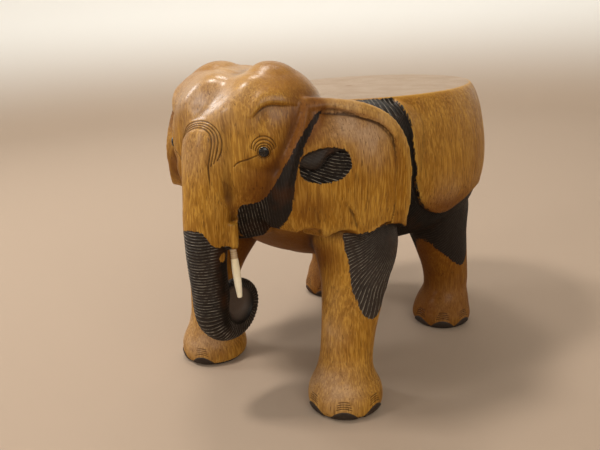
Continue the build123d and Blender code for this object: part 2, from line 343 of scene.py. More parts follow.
# ---------------------------------------------------------------- shader parts
class Graph:
    """Short hand for placing and joining shader nodes."""

    def __init__(self, tree: NodeTree) -> None:
        """Args:
            tree: node tree to build in.
        """
        self.tree = tree

    def add(self, kind: str, **settings: object) -> Node:
        """Places a node.

        Args:
            kind: type of the node.
            settings: attributes to set on it.

        Returns:
            The node.
        """
        node = self.tree.nodes.new(kind)
        for name, value in settings.items():
            setattr(node, name, value)
        return node

    def join(self, source: object, target: NodeSocket) -> None:
        """Feeds a socket from another socket, or sets it to a number or colour.

        Args:
            source: socket, number or colour.
            target: socket to feed.
        """
        if isinstance(source, NodeSocket):
            self.tree.links.new(source, target)
        else:
            target.default_value = source

    def math(self, operation: str, *inputs: object, clamp: bool = False) -> NodeSocket:
        """Places a Math node.

        Args:
            operation: name of the operation.
            inputs: sockets or numbers.
            clamp: whether the result is kept from 0 to 1.

        Returns:
            The result's socket.
        """
        node = self.add("ShaderNodeMath", operation=operation, use_clamp=clamp)
        for source, target in zip(inputs, node.inputs):
            self.join(source, target)
        return node.outputs[0]

    def times(self, value: object, factor: object) -> NodeSocket:
        """Returns the product of two values."""
        return self.math("MULTIPLY", value, factor)

    def rest(self, value: object) -> NodeSocket:
        """Returns what is left of 1 after a value."""
        return self.math("SUBTRACT", 1.0, value)

    def centred(self, value: object) -> NodeSocket:
        """Returns a value from 0 to 1 as one from -0.5 to 0.5."""
        return self.math("SUBTRACT", value, 0.5)

    def tint(self, base: object, colour: object, share: object, strength: object) -> NodeSocket:
        """Lays a colour over another.

        Args:
            base: colour below.
            colour: colour on top.
            share: where it lies.
            strength: how much of it at most.

        Returns:
            The colour's socket.
        """
        return self.mix(self.times(share, strength), base, colour)

    def group(self, tree: NodeTree, place: NodeSocket, values: dict[str, float]) -> Node:
        """Places a shared effect.

        Args:
            tree: the effect's group.
            place: coordinates.
            values: the numbers of its other inputs.

        Returns:
            The group's node.
        """
        node = self.add("ShaderNodeGroup", node_tree=tree)
        self.join(place, node.inputs["Place"])
        for label, value in values.items():
            node.inputs[label].default_value = value
        return node

    def ramp(
        self, value: object, start: float, end: float, low: float = 0.0, high: float = 1.0
    ) -> NodeSocket:
        """Smoothly maps a value between two limits.

        Args:
            value: socket to map.
            start: value that gives low.
            end: value that gives high.
            low: result at start.
            high: result at end.

        Returns:
            The result's socket.
        """
        node = self.add("ShaderNodeMapRange", interpolation_type="SMOOTHSTEP")
        self.join(value, node.inputs["Value"])
        for name, number in (("From Min", start), ("From Max", end), ("To Min", low), ("To Max", high)):
            node.inputs[name].default_value = number
        return node.outputs["Result"]

    def mix(self, share: object, first: object, second: object, blend: str = "MIX") -> NodeSocket:
        """Mixes two colours.

        Args:
            share: how much of the second.
            first: colour or socket.
            second: colour or socket.
            blend: how they mix.

        Returns:
            The colour's socket.
        """
        node = self.add("ShaderNodeMix", data_type="RGBA", blend_type=blend)
        self.join(share, node.inputs[0])
        self.join(first, node.inputs[6])
        self.join(second, node.inputs[7])
        return node.outputs[2]

    def noise(self, place: NodeSocket, scale: float, detail: float = 3.0, rough: float = 0.55) -> NodeSocket:
        """Places a noise texture.

        Args:
            place: coordinates.
            scale: its scale.
            detail: its octaves.
            rough: their weight.

        Returns:
            A value from 0 to 1.
        """
        node = self.add("ShaderNodeTexNoise")
        self.join(place, node.inputs["Vector"])
        node.inputs["Scale"].default_value = scale
        node.inputs["Detail"].default_value = detail
        node.inputs["Roughness"].default_value = rough
        return node.outputs["Fac"]

    def streaky(
        self, place: NodeSocket, along: float, scale: float, detail: float, rough: float
    ) -> NodeSocket:
        """Places a noise drawn out along the grain.

        Args:
            place: coordinates.
            along: its scale along the grain beside that across it.
            scale: its scale across the grain.
            detail: its octaves.
            rough: their weight.

        Returns:
            A value from 0 to 1.
        """
        return self.noise(self.stretch(place, (1.0, 1.0, along)), scale, detail, rough)

    def stretch(self, place: NodeSocket, scale: Triple) -> NodeSocket:
        """Scales coordinates by a different number along each axis.

        Args:
            place: coordinates.
            scale: the three numbers.

        Returns:
            The stretched coordinates.
        """
        node = self.add("ShaderNodeVectorMath", operation="MULTIPLY")
        self.join(place, node.inputs[0])
        node.inputs[1].default_value = scale
        return node.outputs[0]

    def warp(self, place: NodeSocket, scale: float, amount: float) -> NodeSocket:
        """Bends coordinates gently, so that straight grain wanders.

        Args:
            place: coordinates.
            scale: scale of the bends.
            amount: how far they reach, in metres.

        Returns:
            The bent coordinates.
        """
        node = self.add("ShaderNodeTexNoise")
        self.join(self.stretch(place, (1.0, 1.0, 0.6)), node.inputs["Vector"])
        node.inputs["Scale"].default_value = scale
        node.inputs["Detail"].default_value = 2.0
        middle = self.add("ShaderNodeVectorMath", operation="SUBTRACT")
        self.join(node.outputs["Color"], middle.inputs[0])
        middle.inputs[1].default_value = (0.5, 0.5, 0.5)
        moved = self.add("ShaderNodeVectorMath", operation="ADD")
        self.join(place, moved.inputs[0])
        self.join(self.stretch(middle.outputs[0], (amount, amount, 0.0)), moved.inputs[1])
        return moved.outputs[0]

    def attribute(self, name: str) -> NodeSocket:
        """Returns the socket that reads a number kept on the mesh."""
        node = self.add("ShaderNodeAttribute", attribute_name=name, attribute_type="GEOMETRY")
        return node.outputs["Fac"]

    def place(self) -> NodeSocket:
        """Returns the coordinates in the object's own space."""
        return self.add("ShaderNodeTexCoord").outputs["Object"]

    def bump(self, height: object, strength: float, distance: float, under: object = None) -> NodeSocket:
        """Turns a height into a normal.

        Args:
            height: socket.
            strength: how strongly it shows.
            distance: depth in metres.
            under: normal to build on, if any.

        Returns:
            The normal's socket.
        """
        node = self.add("ShaderNodeBump")
        node.inputs["Strength"].default_value = strength
        node.inputs["Distance"].default_value = distance
        self.join(height, node.inputs["Height"])
        if under is not None:
            self.join(under, node.inputs["Normal"])
        return node.outputs["Normal"]


class SharedEffects:
    """Node groups that more than one material uses."""

    log_heart: Triple = (-0.030, 0.262, 0.0)

    def __init__(self) -> None:
        """Builds the groups once."""
        self.wood = self._wood()
        self.mottle = self._mottle()

    @staticmethod
    def _new(
        name: str, inputs: dict[str, float], outputs: Sequence[str]
    ) -> tuple[NodeTree, Graph, Node, Node]:
        """Starts a group that reads coordinates and numbers.

        Args:
            name: the group's name.
            inputs: name and default of each number that it reads.
            outputs: name of each number that it gives.

        Returns:
            The group, a graph to build in it, its input node and its output node.
        """
        group = bpy.data.node_groups.new(name, "ShaderNodeTree")
        group.interface.new_socket(name="Place", in_out="INPUT", socket_type="NodeSocketVector")
        for label, default in inputs.items():
            socket = group.interface.new_socket(name=label, in_out="INPUT", socket_type="NodeSocketFloat")
            socket.default_value = default
        for label in outputs:
            group.interface.new_socket(name=label, in_out="OUTPUT", socket_type="NodeSocketFloat")
        graph = Graph(group)
        return group, graph, graph.add("NodeGroupInput"), graph.add("NodeGroupOutput")

    def _wood(self) -> NodeTree:
        """Returns the group for one log: rings round its heart, with streaks, fibres and pores along it."""
        group, graph, start, end = self._new(
            "log_grain",
            {"Ring Pitch": 0.006, "Waviness": 0.012},
            ("Rings", "Streaks", "Fibres", "Pores", "Clouds"),
        )
        straight = start.outputs["Place"]
        place = graph.warp(straight, 14.0, 0.010)
        graph.join(self._rings(graph, start), end.inputs["Rings"])
        broad = graph.streaky(place, 0.11, 95.0, 2.0, 0.5)
        narrow = graph.streaky(place, 0.10, 250.0, 2.0, 0.55)
        both = graph.math("ADD", graph.times(broad, 0.52), graph.times(narrow, 0.48))
        graph.join(graph.ramp(both, 0.40, 0.60), end.inputs["Streaks"])
        fibres = graph.streaky(place, 0.085, 640.0, 2.0, 0.6)
        graph.join(graph.ramp(fibres, 0.34, 0.66), end.inputs["Fibres"])
        pores = graph.streaky(place, 0.11, 820.0, 1.0, 0.5)
        graph.join(graph.ramp(pores, 0.62, 0.72), end.inputs["Pores"])
        clouds = graph.streaky(straight, 0.6, 17.0, 4.0, 0.6)
        graph.join(graph.ramp(clouds, 0.34, 0.66), end.inputs["Clouds"])
        return group

    def _rings(self, graph: Graph, start: Node) -> NodeSocket:
        """Draws growth rings that darken slowly and end sharply.

        Args:
            graph: where to build.
            start: the group's input node.

        Returns:
            The rings' socket.
        """
        straight = start.outputs["Place"]
        shifted = graph.add("ShaderNodeVectorMath", operation="SUBTRACT")
        graph.join(straight, shifted.inputs[0])
        shifted.inputs[1].default_value = self.log_heart
        flat = graph.stretch(shifted.outputs[0], (1.0, 1.0, 0.0))
        radius = graph.add("ShaderNodeVectorMath", operation="LENGTH")
        graph.join(flat, radius.inputs[0])
        slow = graph.streaky(straight, 0.28, 9.0, 2.0, 0.5)
        wave = graph.times(graph.centred(slow), start.outputs["Waviness"])
        wavy = graph.math("ADD", radius.outputs["Value"], graph.times(wave, 2.0))
        turns = graph.math("DIVIDE", wavy, start.outputs["Ring Pitch"])
        uneven = graph.times(graph.noise(straight, 30.0, 1.0, 0.5), 0.8)
        saw = graph.math("FRACT", graph.math("ADD", turns, uneven))
        late = graph.math("POWER", saw, 2.4)
        early = graph.ramp(saw, 0.92, 1.0, 1.0, 0.0)
        return graph.times(late, early)

    def _mottle(self) -> NodeTree:
        """Returns the group for hand-rubbed finishes: broad patches and a fine speckle."""
        group, graph, start, end = self._new(
            "rubbed_mottle", {"Patch Scale": 40.0, "Speckle Scale": 900.0}, ("Patches", "Speckle")
        )
        for label, source, low, high in (
            ("Patches", "Patch Scale", 0.32, 0.70),
            ("Speckle", "Speckle Scale", 0.40, 0.66),
        ):
            noise = graph.add("ShaderNodeTexNoise")
            graph.join(start.outputs["Place"], noise.inputs["Vector"])
            graph.join(start.outputs[source], noise.inputs["Scale"])
            noise.inputs["Detail"].default_value = 4.0
            graph.join(graph.ramp(noise.outputs["Fac"], low, high), end.inputs[label])
        return group


def blank_material(name: str) -> tuple[Material, Graph, Node]:
    """Starts a material.

    Args:
        name: the material's name.

    Returns:
        The material, a graph to build in it and its shader node.
    """
    material = bpy.data.materials.new(name)
    material.use_nodes = True
    tree = material.node_tree
    tree.nodes.clear()
    graph = Graph(tree)
    shader = graph.add("ShaderNodeBsdfPrincipled")
    output = graph.add("ShaderNodeOutputMaterial")
    graph.join(shader.outputs["BSDF"], output.inputs["Surface"])
    return material, graph, shader


@dataclass(frozen=True)
class VarnishedWood:
    """Stained and varnished wood of the carving, with painted shade and painted highlights. Colours are
    linear.
    """

    honey: Colour = (0.540, 0.268, 0.033, 1.0)
    amber: Colour = (0.380, 0.163, 0.009, 1.0)
    russet: Colour = (0.145, 0.043, 0.0012, 1.0)
    pale_gold: Colour = (0.690, 0.410, 0.080, 1.0)
    rubbed_pink: Colour = (0.500, 0.325, 0.190, 1.0)
    deep_brown: Colour = (0.060, 0.017, 0.0012, 1.0)
    pore_brown: Colour = (0.060, 0.020, 0.004, 1.0)
    end_grain: Colour = (0.360, 0.264, 0.183, 1.0)
    end_grain_line: Colour = (0.232, 0.154, 0.099, 1.0)
    stain: Colour = (0.0045, 0.0026, 0.0015, 1.0)
    stain_rubbed: Colour = (0.085, 0.061, 0.047, 1.0)
    stain_ridge: Colour = (0.310, 0.272, 0.215, 1.0)
    painted_groove_shade: Colour = (0.030, 0.010, 0.003, 1.0)
    roughness: float = 0.47
    specular: float = 0.13
    coat: float = 0.46
    least_coat: float = 0.09
    coat_roughness: float = 0.27

    def material(self, effects: SharedEffects) -> Material:
        """Builds the material.

        Args:
            effects: the shared node groups.

        Returns:
            The material.
        """
        material, graph, shader = blank_material("varnished_carved_wood")
        place = graph.place()
        grain = graph.group(effects.wood, place, {"Ring Pitch": 0.0056, "Waviness": 0.014})
        mottle = graph.group(effects.mottle, place, {"Patch Scale": 42.0, "Speckle Scale": 1100.0})
        seat = graph.attribute("seat")
        stained = self._stained(graph, place)
        line = graph.ramp(graph.attribute("cut_mm"), 0.66, 0.08)
        polish = graph.attribute("polish")

        wood = self._bare_wood(graph, grain, mottle)
        wood = graph.mix(seat, wood, self._seat_top(graph, place, grain, mottle))
        # Painted shade: small hollows and the knife lines are darkened.
        hollow = graph.ramp(graph.attribute("hollow"), 0.05, 0.75)
        wood = graph.tint(wood, self.painted_groove_shade, hollow, 0.80)
        wood = graph.tint(wood, self.painted_groove_shade, line, 0.72)
        trough, dark = self._hair(graph, place, mottle)
        graph.join(graph.mix(stained, wood, dark), shader.inputs["Base Color"])

        rough: object = self.roughness
        for share, amount in (
            (mottle.outputs["Patches"], 0.10),
            (grain.outputs["Pores"], 0.12),
            (seat, 0.10),
            (line, 0.25),
            (graph.attribute("shade_and_patina"), 0.18),
            (polish, -0.15),
        ):
            rough = graph.math("ADD", rough, graph.times(share, amount))
        graph.join(rough, shader.inputs["Roughness"])
        shader.inputs["Specular IOR Level"].default_value = self.specular
        shader.inputs["Coat Roughness"].default_value = self.coat_roughness
        coat = graph.math("ADD", graph.times(polish, self.coat), self.least_coat)
        for dull, amount in ((seat, 0.9), (stained, 0.8)):
            coat = graph.times(coat, graph.rest(graph.times(dull, amount)))
        graph.join(coat, shader.inputs["Coat Weight"])

        fibres = graph.times(grain.outputs["Fibres"], 0.6)
        fine = graph.math("SUBTRACT", fibres, graph.times(grain.outputs["Pores"], 0.8))
        fine = graph.math("ADD", fine, graph.times(mottle.outputs["Speckle"], 0.45))
        normal = graph.bump(fine, 0.55, 0.00030)
        tool_marks = graph.streaky(place, 0.55, 85.0, 2.0, 0.5)
        normal = graph.bump(tool_marks, 0.50, 0.0018, normal)
        strokes = graph.times(graph.rest(trough), graph.attribute("stroke_depth"))
        normal = graph.bump(graph.times(strokes, stained), 0.85, 0.0005, normal)
        normal = graph.bump(graph.rest(line), 0.8, 0.0006, normal)
        graph.join(normal, shader.inputs["Normal"])
        return material

    def _bare_wood(self, graph: Graph, grain: Node, mottle: Node) -> NodeSocket:
        """Colours the varnished wood with its streaks, pores and worn places, painted shade in its hollows
        and under its parts, and painted highlights on its proud edges.

        Args:
            graph: where to build.
            grain: the log's grain.
            mottle: the rubbed mottle.

        Returns:
            The colour's socket.
        """
        patches = mottle.outputs["Patches"]
        fibres = grain.outputs["Fibres"]
        along = graph.ramp(graph.attribute("across_grain"), 0.0, 1.0, 1.0, 0.35)
        wood = graph.mix(grain.outputs["Clouds"], self.amber, self.honey)
        dull = graph.times(graph.rest(grain.outputs["Streaks"]), along)
        wood = graph.tint(wood, self.russet, dull, 0.31)
        wood = graph.tint(wood, self.russet, grain.outputs["Rings"], 0.26)
        wood = graph.tint(wood, self.russet, patches, 0.18)
        bright = graph.times(graph.ramp(fibres, 0.45, 1.0), along)
        wood = graph.tint(wood, self.pale_gold, bright, 0.24)
        uneven = graph.ramp(patches, 0.0, 1.0, 1.0, 0.45)
        wood = graph.tint(wood, self.rubbed_pink, graph.attribute("rubbed"), uneven)
        # Proud edges are lightened: rubbed wear with a painted highlight.
        wood = graph.tint(wood, self.pale_gold, graph.attribute("edge_wear_and_highlight"), 0.50)
        # Russet painted shade under and between the parts, with darker varnish in some places.
        shade = graph.times(graph.attribute("shade_and_patina"), 0.92)
        wood = graph.tint(wood, self.russet, shade, 0.95)
        # Painted shade in the broad hollows.
        wood = graph.tint(wood, self.deep_brown, graph.attribute("painted_broad_shade"), 0.75)
        thin = graph.times(graph.rest(fibres), along)
        wood = graph.tint(wood, self.deep_brown, thin, 0.26)
        pores = graph.times(grain.outputs["Pores"], along)
        return graph.tint(wood, self.pore_brown, pores, 0.55)

    def _seat_top(self, graph: Graph, place: NodeSocket, grain: Node, mottle: Node) -> NodeSocket:
        """Colours the sanded end grain of the seat.

        Args:
            graph: where to build.
            place: coordinates.
            grain: the log's grain.
            mottle: the rubbed mottle.

        Returns:
            The colour's socket.
        """
        top = graph.tint(self.end_grain, self.end_grain_line, grain.outputs["Rings"], 0.42)
        top = graph.tint(top, self.end_grain_line, mottle.outputs["Patches"], 0.18)
        specks = graph.noise(place, 900.0, 2.0, 0.6)
        top = graph.mix(graph.ramp(specks, 0.58, 0.72, 0.0, 0.35), top, self.end_grain_line)
        return graph.tint(top, self.russet, graph.attribute("knot"), 0.8)

    def _stained(self, graph: Graph, place: NodeSocket) -> NodeSocket:
        """Returns where the dark stain lies, with a ragged brushed edge."""
        ragged = graph.streaky(place, 0.35, 420.0, 3.0, 0.6)
        reach = graph.times(graph.attribute("ragged_edge"), 5.0)
        shifted = graph.times(graph.centred(ragged), reach)
        edge = graph.math("ADD", graph.attribute("stain_mm"), shifted)
        return graph.ramp(edge, -0.35, 0.45)

    def _hair(self, graph: Graph, place: NodeSocket, mottle: Node) -> tuple[NodeSocket, NodeSocket]:
        """Colours the dark carved hair with its rubbed ridges.

        Args:
            graph: where to build.
            place: coordinates.
            mottle: the rubbed mottle.

        Returns:
            How deep each place lies in a stroke, from 0 to 1, and the colour.
        """
        pale = graph.attribute("ridge_pale")
        shiver = graph.times(graph.centred(graph.noise(place, 70.0, 2.0, 0.5)), 0.55)
        phase = graph.math("ADD", graph.attribute("stroke_phase"), shiver)
        trough = graph.math("ABSOLUTE", graph.math("SINE", graph.times(phase, math.pi)))
        ridge = graph.ramp(trough, 0.40, 0.05)
        scuff = graph.ramp(graph.noise(place, 240.0, 3.0, 0.65), 0.38, 0.62, 0.12, 1.0)
        dark = graph.mix(graph.attribute("stain_thin"), self.stain, self.stain_rubbed)
        dusty = graph.times(graph.math("ADD", pale, 0.10), 0.16)
        dark = graph.tint(dark, self.stain_rubbed, mottle.outputs["Patches"], dusty)
        worn_through = graph.ramp(graph.noise(place, 24.0, 3.0, 0.6), 0.50, 0.72, 0.0, 0.50)
        dark = graph.tint(dark, self.deep_brown, worn_through, graph.rest(pale))
        dark = graph.tint(dark, self.stain_ridge, graph.times(ridge, pale), scuff)
        return trough, dark


@dataclass(frozen=True)
class RubbedIvory:
    """Cream finish of the tusks. Colours are linear."""

    cream: Colour = (0.78, 0.66, 0.44, 1.0)
    pale: Colour = (0.88, 0.80, 0.62, 1.0)
    ring: Colour = (0.30, 0.16, 0.06, 1.0)

    def material(self, effects: SharedEffects) -> Material:
        """Builds the material.

        Args:
            effects: the shared node groups.

        Returns:
            The material.
        """
        material, graph, shader = blank_material("rubbed_cream_tusk")
        place = graph.place()
        mottle = graph.group(effects.mottle, place, {"Patch Scale": 90.0, "Speckle Scale": 1600.0})
        colour = graph.mix(mottle.outputs["Patches"], self.cream, self.pale)
        streak = graph.streaky(place, 0.06, 700.0, 2.0, 0.5)
        colour = graph.mix(graph.ramp(streak, 0.45, 0.75, 0.0, 0.35), colour, self.cream)
        colour = graph.mix(graph.attribute("root_dirt"), colour, self.ring)
        graph.join(colour, shader.inputs["Base Color"])
        graph.join(graph.ramp(mottle.outputs["Speckle"], 0.0, 1.0, 0.34, 0.46), shader.inputs["Roughness"])
        graph.join(graph.bump(streak, 0.3, 0.0002), shader.inputs["Normal"])
        shader.inputs["Subsurface Weight"].default_value = 0.08
        shader.inputs["Subsurface Radius"].default_value = (0.004, 0.003, 0.002)
        return material


@dataclass(frozen=True)
class BlackBead:
    """Polished black of the eyes."""

    black: Colour = (0.006, 0.006, 0.007, 1.0)
    brown: Colour = (0.018, 0.012, 0.008, 1.0)

    def material(self, effects: SharedEffects) -> Material:
        """Builds the material.

        Args:
            effects: the shared node groups.

        Returns:
            The material.
        """
        material, graph, shader = blank_material("polished_black_bead")
        scales = {"Patch Scale": 260.0, "Speckle Scale": 2500.0}
        mottle = graph.group(effects.mottle, graph.place(), scales)
        colour = graph.mix(mottle.outputs["Patches"], self.black, self.brown)
        graph.join(colour, shader.inputs["Base Color"])
        graph.join(graph.ramp(mottle.outputs["Speckle"], 0.0, 1.0, 0.10, 0.16), shader.inputs["Roughness"])
        shader.inputs["Specular IOR Level"].default_value = 0.3
        shader.inputs["Coat Weight"].default_value = 0.15
        shader.inputs["Coat Roughness"].default_value = 0.04
        return material


@dataclass(frozen=True)
class BlackPad:
    """Dull black of the foot pads."""

    black: Colour = (0.012, 0.011, 0.011, 1.0)
    dusty: Colour = (0.040, 0.036, 0.032, 1.0)

    def material(self, effects: SharedEffects) -> Material:
        """Builds the material.

        Args:
            effects: the shared node groups.

        Returns:
            The material.
        """
        material, graph, shader = blank_material("dull_black_pad")
        scales = {"Patch Scale": 120.0, "Speckle Scale": 2200.0}
        mottle = graph.group(effects.mottle, graph.place(), scales)
        colour = graph.mix(mottle.outputs["Patches"], self.black, self.dusty)
        graph.join(colour, shader.inputs["Base Color"])
        graph.join(graph.ramp(mottle.outputs["Speckle"], 0.0, 1.0, 0.82, 0.95), shader.inputs["Roughness"])
        graph.join(graph.bump(mottle.outputs["Speckle"], 0.5, 0.0003), shader.inputs["Normal"])
        return material


# ---------------------------------------------------------------- the carving
@dataclass(frozen=True)
class Socket:
    """Where a tusk or an eye is set in, given on the left side, in millimetres."""

    root: Triple
    outward: Triple

    def standing(self, side: Side, sink: float = 0.0) -> Matrix:
        """Finds where the set-in piece stands.

        Args:
            side: the side asked for.
            sink: how far below the surface, in millimetres.

        Returns:
            The matrix that puts the piece there.
        """
        axis = Vector((side.value * self.outward[0], *self.outward[1:])).normalized()
        centre = Vector((side.value * self.root[0], *self.root[1:])) - axis * sink
        return Matrix.Translation(centre * MM) @ axis.to_track_quat("Z", "Y").to_matrix().to_4x4()


EYE_SOCKET = Socket((59.0, -177.0, 268.2), (0.655, -0.755, 0.0))
TUSK_SOCKET = Socket((24.0, -190.0, 176.0), (0.173, -0.087, -0.981))


@dataclass(frozen=True)
class SoftSpot:
    """A soft-edged round place on both sides of the carving, used for swellings, rubbed wear and painted
    shade.
    """

    centre: Triple
    radius: float
    amount: float

    def share(self, spots: np.ndarray) -> np.ndarray:
        """Returns how strongly it works on each vertex, folded to the left side."""
        away = np.linalg.norm(spots - np.array(self.centre), axis=1)
        return self.amount * np.exp(-((away / self.radius) ** 2))


@dataclass(frozen=True)
class Stroke:
    """A soft gouge stroke on both sides of the carving, or a ridge where its height is above 0."""

    line: Line3
    width: float
    height: float

    def lift(self, spots: np.ndarray, reach: float) -> np.ndarray:
        """Returns how far it moves each vertex, folded to the left side, outward."""
        away = distance_to_line(spots, rounded(self.line), reach)
        return self.height * np.exp(-((away / self.width) ** 2))


@dataclass
class Foot:
    """One of the two kinds of foot, on the left side, with its toenails."""

    centre: Pair
    radius: float
    nail_bearings: tuple[float, ...] = (-22.0, 33.0, 86.0)
    nail_half_width: float = 14.0
    nail_height: float = 12.0
    nail_drop: float = 7.8
    nail_proud: float = 1.0
    crease_pitch: float = 2.2
    crease_half_width: float = 8.5
    creases: int = 4

    def along_nail(self, spots: np.ndarray, nail: float) -> np.ndarray:
        """Returns the distance round the foot from the middle of the nail at that bearing."""
        out, ahead = spots[:, 0] - self.centre[0], self.centre[1] - spots[:, 1]
        bearing = np.arctan2(out, ahead)
        turn = (bearing - math.radians(nail) + math.pi) % (2 * math.pi) - math.pi
        return turn * self.radius

    def near(self, spots: np.ndarray) -> np.ndarray:
        """Returns which vertices belong to this foot."""
        away = np.hypot(spots[:, 0] - self.centre[0], spots[:, 1] - self.centre[1])
        return (away < self.radius + 8.0) & (spots[:, 2] < 40.0)


@dataclass
class Carving:
    """The carved log: body, seat, head, trunk, ears, legs and tail in one piece."""

    knife_reach: float = 6.0
    voxel: float = 1.7
    quick_voxel: float = 3.0
    seat_height: float = 298.0
    seat_centre: Pair = (0.0, 70.0)
    seat_radii: Pair = (120.0, 140.0)
    knot: Triple = (-15.0, 63.0, 298.0)
    eye_socket: Socket = EYE_SOCKET
    eye_across: Triple = (0.755, 0.655, 0.0)
    eye_radius: float = 5.0
    eyelids: tuple[Pair, ...] = ((7.3, 0.5), (9.0, 1.7), (10.8, 2.9))
    tusk_socket: Socket = TUSK_SOCKET
    tusk_radius: float = 3.2
    ear_blank: Triple = (136.0, 194.0, -10.0)
    ahead_of_rim: Line2 = ((-80.0, 160.0), (-200.0, 160.0), (-200.0, 300.0))
    curl_centre: Pair = (-175.5, 112.0)
    curl_reach: float = 40.0
    ring_pitch: float = 2.9
    ear_stroke_pitch: float = 2.9
    ring_depth: float = 0.75
    front_foot: Foot = field(default_factory=lambda: Foot((95.0, -117.0), 38.0))
    rear_foot: Foot = field(default_factory=lambda: Foot((88.0, 110.0), 35.5, (-20.0, 30.0, 78.0)))

    jaw_patch: Line2 = (
        (-12, 299), (-14, 296), (-15, 293.5), (-17, 290.5), (-21, 285.5), (-23, 281), (-26, 276),
        (-28, 271), (-30, 266), (-32, 262.5), (-34.5, 256), (-35.5, 250), (-37.5, 243), (-38.5, 233),
        (-40, 226), (-41, 218), (-44, 211.5), (-48, 205), (-55, 194), (-66, 180), (-79, 168),
        (-93, 172), (-93, 186), (-93, 201), (-92, 211), (-90, 218), (-82, 220), (-74, 220), (-68, 223),
        (-62, 230), (-59, 235), (-54.5, 241), (-51, 247), (-48, 252.5), (-45, 258), (-40.5, 264),
        (-37.5, 270.5), (-34.5, 275), (-31.5, 280), (-28.5, 284), (-24.5, 289), (-20, 294.5),
        (-15, 300),
    )
    cheek_edge_start: int = 28
    ear_hollow: Line2 = (
        (-33, 245), (-34, 252), (-33, 260), (-28, 265), (-21, 267), (-13, 269), (-5, 268.5), (3, 267),
        (8, 264), (12, 258), (13, 252), (12, 246), (6, 240), (-3, 237.5), (-15, 237), (-26, 240),
    )
    ear_crease: Line2 = (
        (-34, 254), (-29, 251), (-23, 249), (-18, 249), (-14, 252), (-11, 256), (-8, 260), (-3, 262),
        (4, 263), (10, 262),
    )
    rim_groove: Line3 = (
        (92, -135, 299), (97, -129, 299), (101, -121, 297), (107, -111, 294), (113, -99, 289),
        (119, -88, 284), (125, -79, 276), (127, -73, 267), (128, -71, 256), (130, -70, 243),
        (130, -70, 227), (130, -71, 205), (129, -74, 188),
    )
    hem_folds: tuple[tuple[Line2, float], ...] = (
        (((21, 172), (21, 177), (19, 191), (16, 203), (11, 213), (6, 222)), 1.6),
        (((-16, 172), (-16, 178), (-16, 201), (-18, 212), (-21, 221)), 1.3),
        (((-38, 185), (-36, 197), (-34, 206), (-32, 216)), 0.9),
    )
    drum_edge: Line2 = (
        (-12, 299), (-18, 295), (-21, 289), (-22, 281), (-22, 272), (-23, 262), (-20, 246), (-17, 230),
        (-12, 211), (-8, 196), (-2, 186), (7, 177), (23, 169), (41, 166), (55, 172), (73, 177),
        (89, 183), (106, 184), (128, 182), (150, 172), (166, 158),
    )
    behind_drum_edge: Line2 = ((240, 120), (240, 320), (-12, 320))
    thigh_patch: Line2 = (
        (-70, 200), (-60, 172), (-46, 150), (-20, 140), (25, 134), (50, 128), (58, 124), (64, 117),
        (70, 110), (75, 104), (83, 97), (91, 89), (100, 82), (107, 79), (114, 83), (122, 96),
        (130, 120), (140, 146), (150, 170), (128, 184), (106, 186), (89, 185), (73, 179), (55, 174),
        (41, 168), (23, 171), (7, 179), (-2, 188), (-8, 198), (-12, 213), (-20, 248), (-60, 248),
    )
    elbow_patch: Line2 = (
        (3, 184), (17, 184), (30, 184), (44, 184), (66, 184), (68, 160), (60, 140), (50, 120),
        (42, 106), (36, 99), (29, 97), (23, 101), (18, 108), (14, 118), (11, 127), (9.5, 136),
        (8.5, 146), (7.5, 156), (5.5, 166), (4, 175),
    )
    elbow_apex: Pair = (66.0, 192.0)
    brow_line: Line2 = (
        (-73, 297), (-69, 301), (-66, 304), (-61, 307), (-55, 308), (-47, 307), (-38, 306), (-31, 304),
        (-24, 302), (-17, 300),
    )
    tear_line: Line2 = ((-68, 266), (-73, 264), (-78, 262), (-85, 260), (-89, 258), (-91, 255.5))
    bridge_outer: Line2 = (
        (-28, 260), (-30, 268), (-28, 278), (-22, 286), (-12, 292), (1, 295), (12, 293.5), (20, 288),
        (24, 279), (24.5, 269), (22.5, 261),
    )
    bridge_inner: Line2 = (
        (-25.5, 252), (-25.5, 262), (-24, 272), (-19, 280), (-10, 286), (1, 289.5), (10, 288),
        (16, 283), (18, 275), (17, 264), (16, 254),
    )
    bridge_tail: Line2 = ((17.5, 240), (16.5, 230))
    bridge_foot: Line2 = ((15.0, 205.0), (-24.0, 205.0))
    bridge_steps: tuple[float, ...] = (0.0, 0.36, 0.68, 1.0)
    crown_valley: Line3 = (
        (0, -105, 346), (3, -130, 344), (12, -155, 338), (17, -169, 331), (15, -181, 323),
        (7, -187, 312), (-1, -191, 302), (-3, -194, 296),
    )
    trunk_spot: Triple = (20.5, -200.0, 169.5)
    trunk_spot_radius: float = 4.4
    trunk_stain_top: Line2 = (
        (-60, 180), (-22, 181), (-19, 184), (-16, 190), (-13, 195), (-1, 198), (8, 198), (12, 197),
        (15, 193), (18, 186), (20, 182), (21, 181), (25, 180), (60, 179.5),
    )
    trunk_stain_rear: Line2 = ((142, -126), (158, -160))
    jaw_stain_rear: Line2 = ((188, -152), (202, -132))
    right_jaw_reach: float = 62.0
    ear_rear_face: tuple[Pair, Pair] = ((-47, -49), (0.925, 0.94))
    neck_stain_front: Line2 = ((178, -66), (268, -66), (288, -92), (298, -104))
    tail_half_width: Line2 = ((150, 2.0), (158, 7.0), (168, 10.0), (182, 9.0), (198, 6.5), (262, 6.0))
    head_swells: tuple[SoftSpot, ...] = (
        SoftSpot((50.0, -186.0, 238.0), 19.0, 1.8), SoftSpot((60.0, -176.0, 272.0), 15.0, 1.2),
        SoftSpot((30.0, -196.0, 208.0), 14.0, 1.0),
    )
    head_strokes: tuple[Stroke, ...] = (
        Stroke(((28, -194, 290), (31, -192, 270), (31, -191, 250), (28, -194, 228)), 7.0, -2.2),
        Stroke(((42, -186, 256), (50, -182, 252), (62, -174, 250), (72, -166, 254)), 5.0, -1.3),
    )
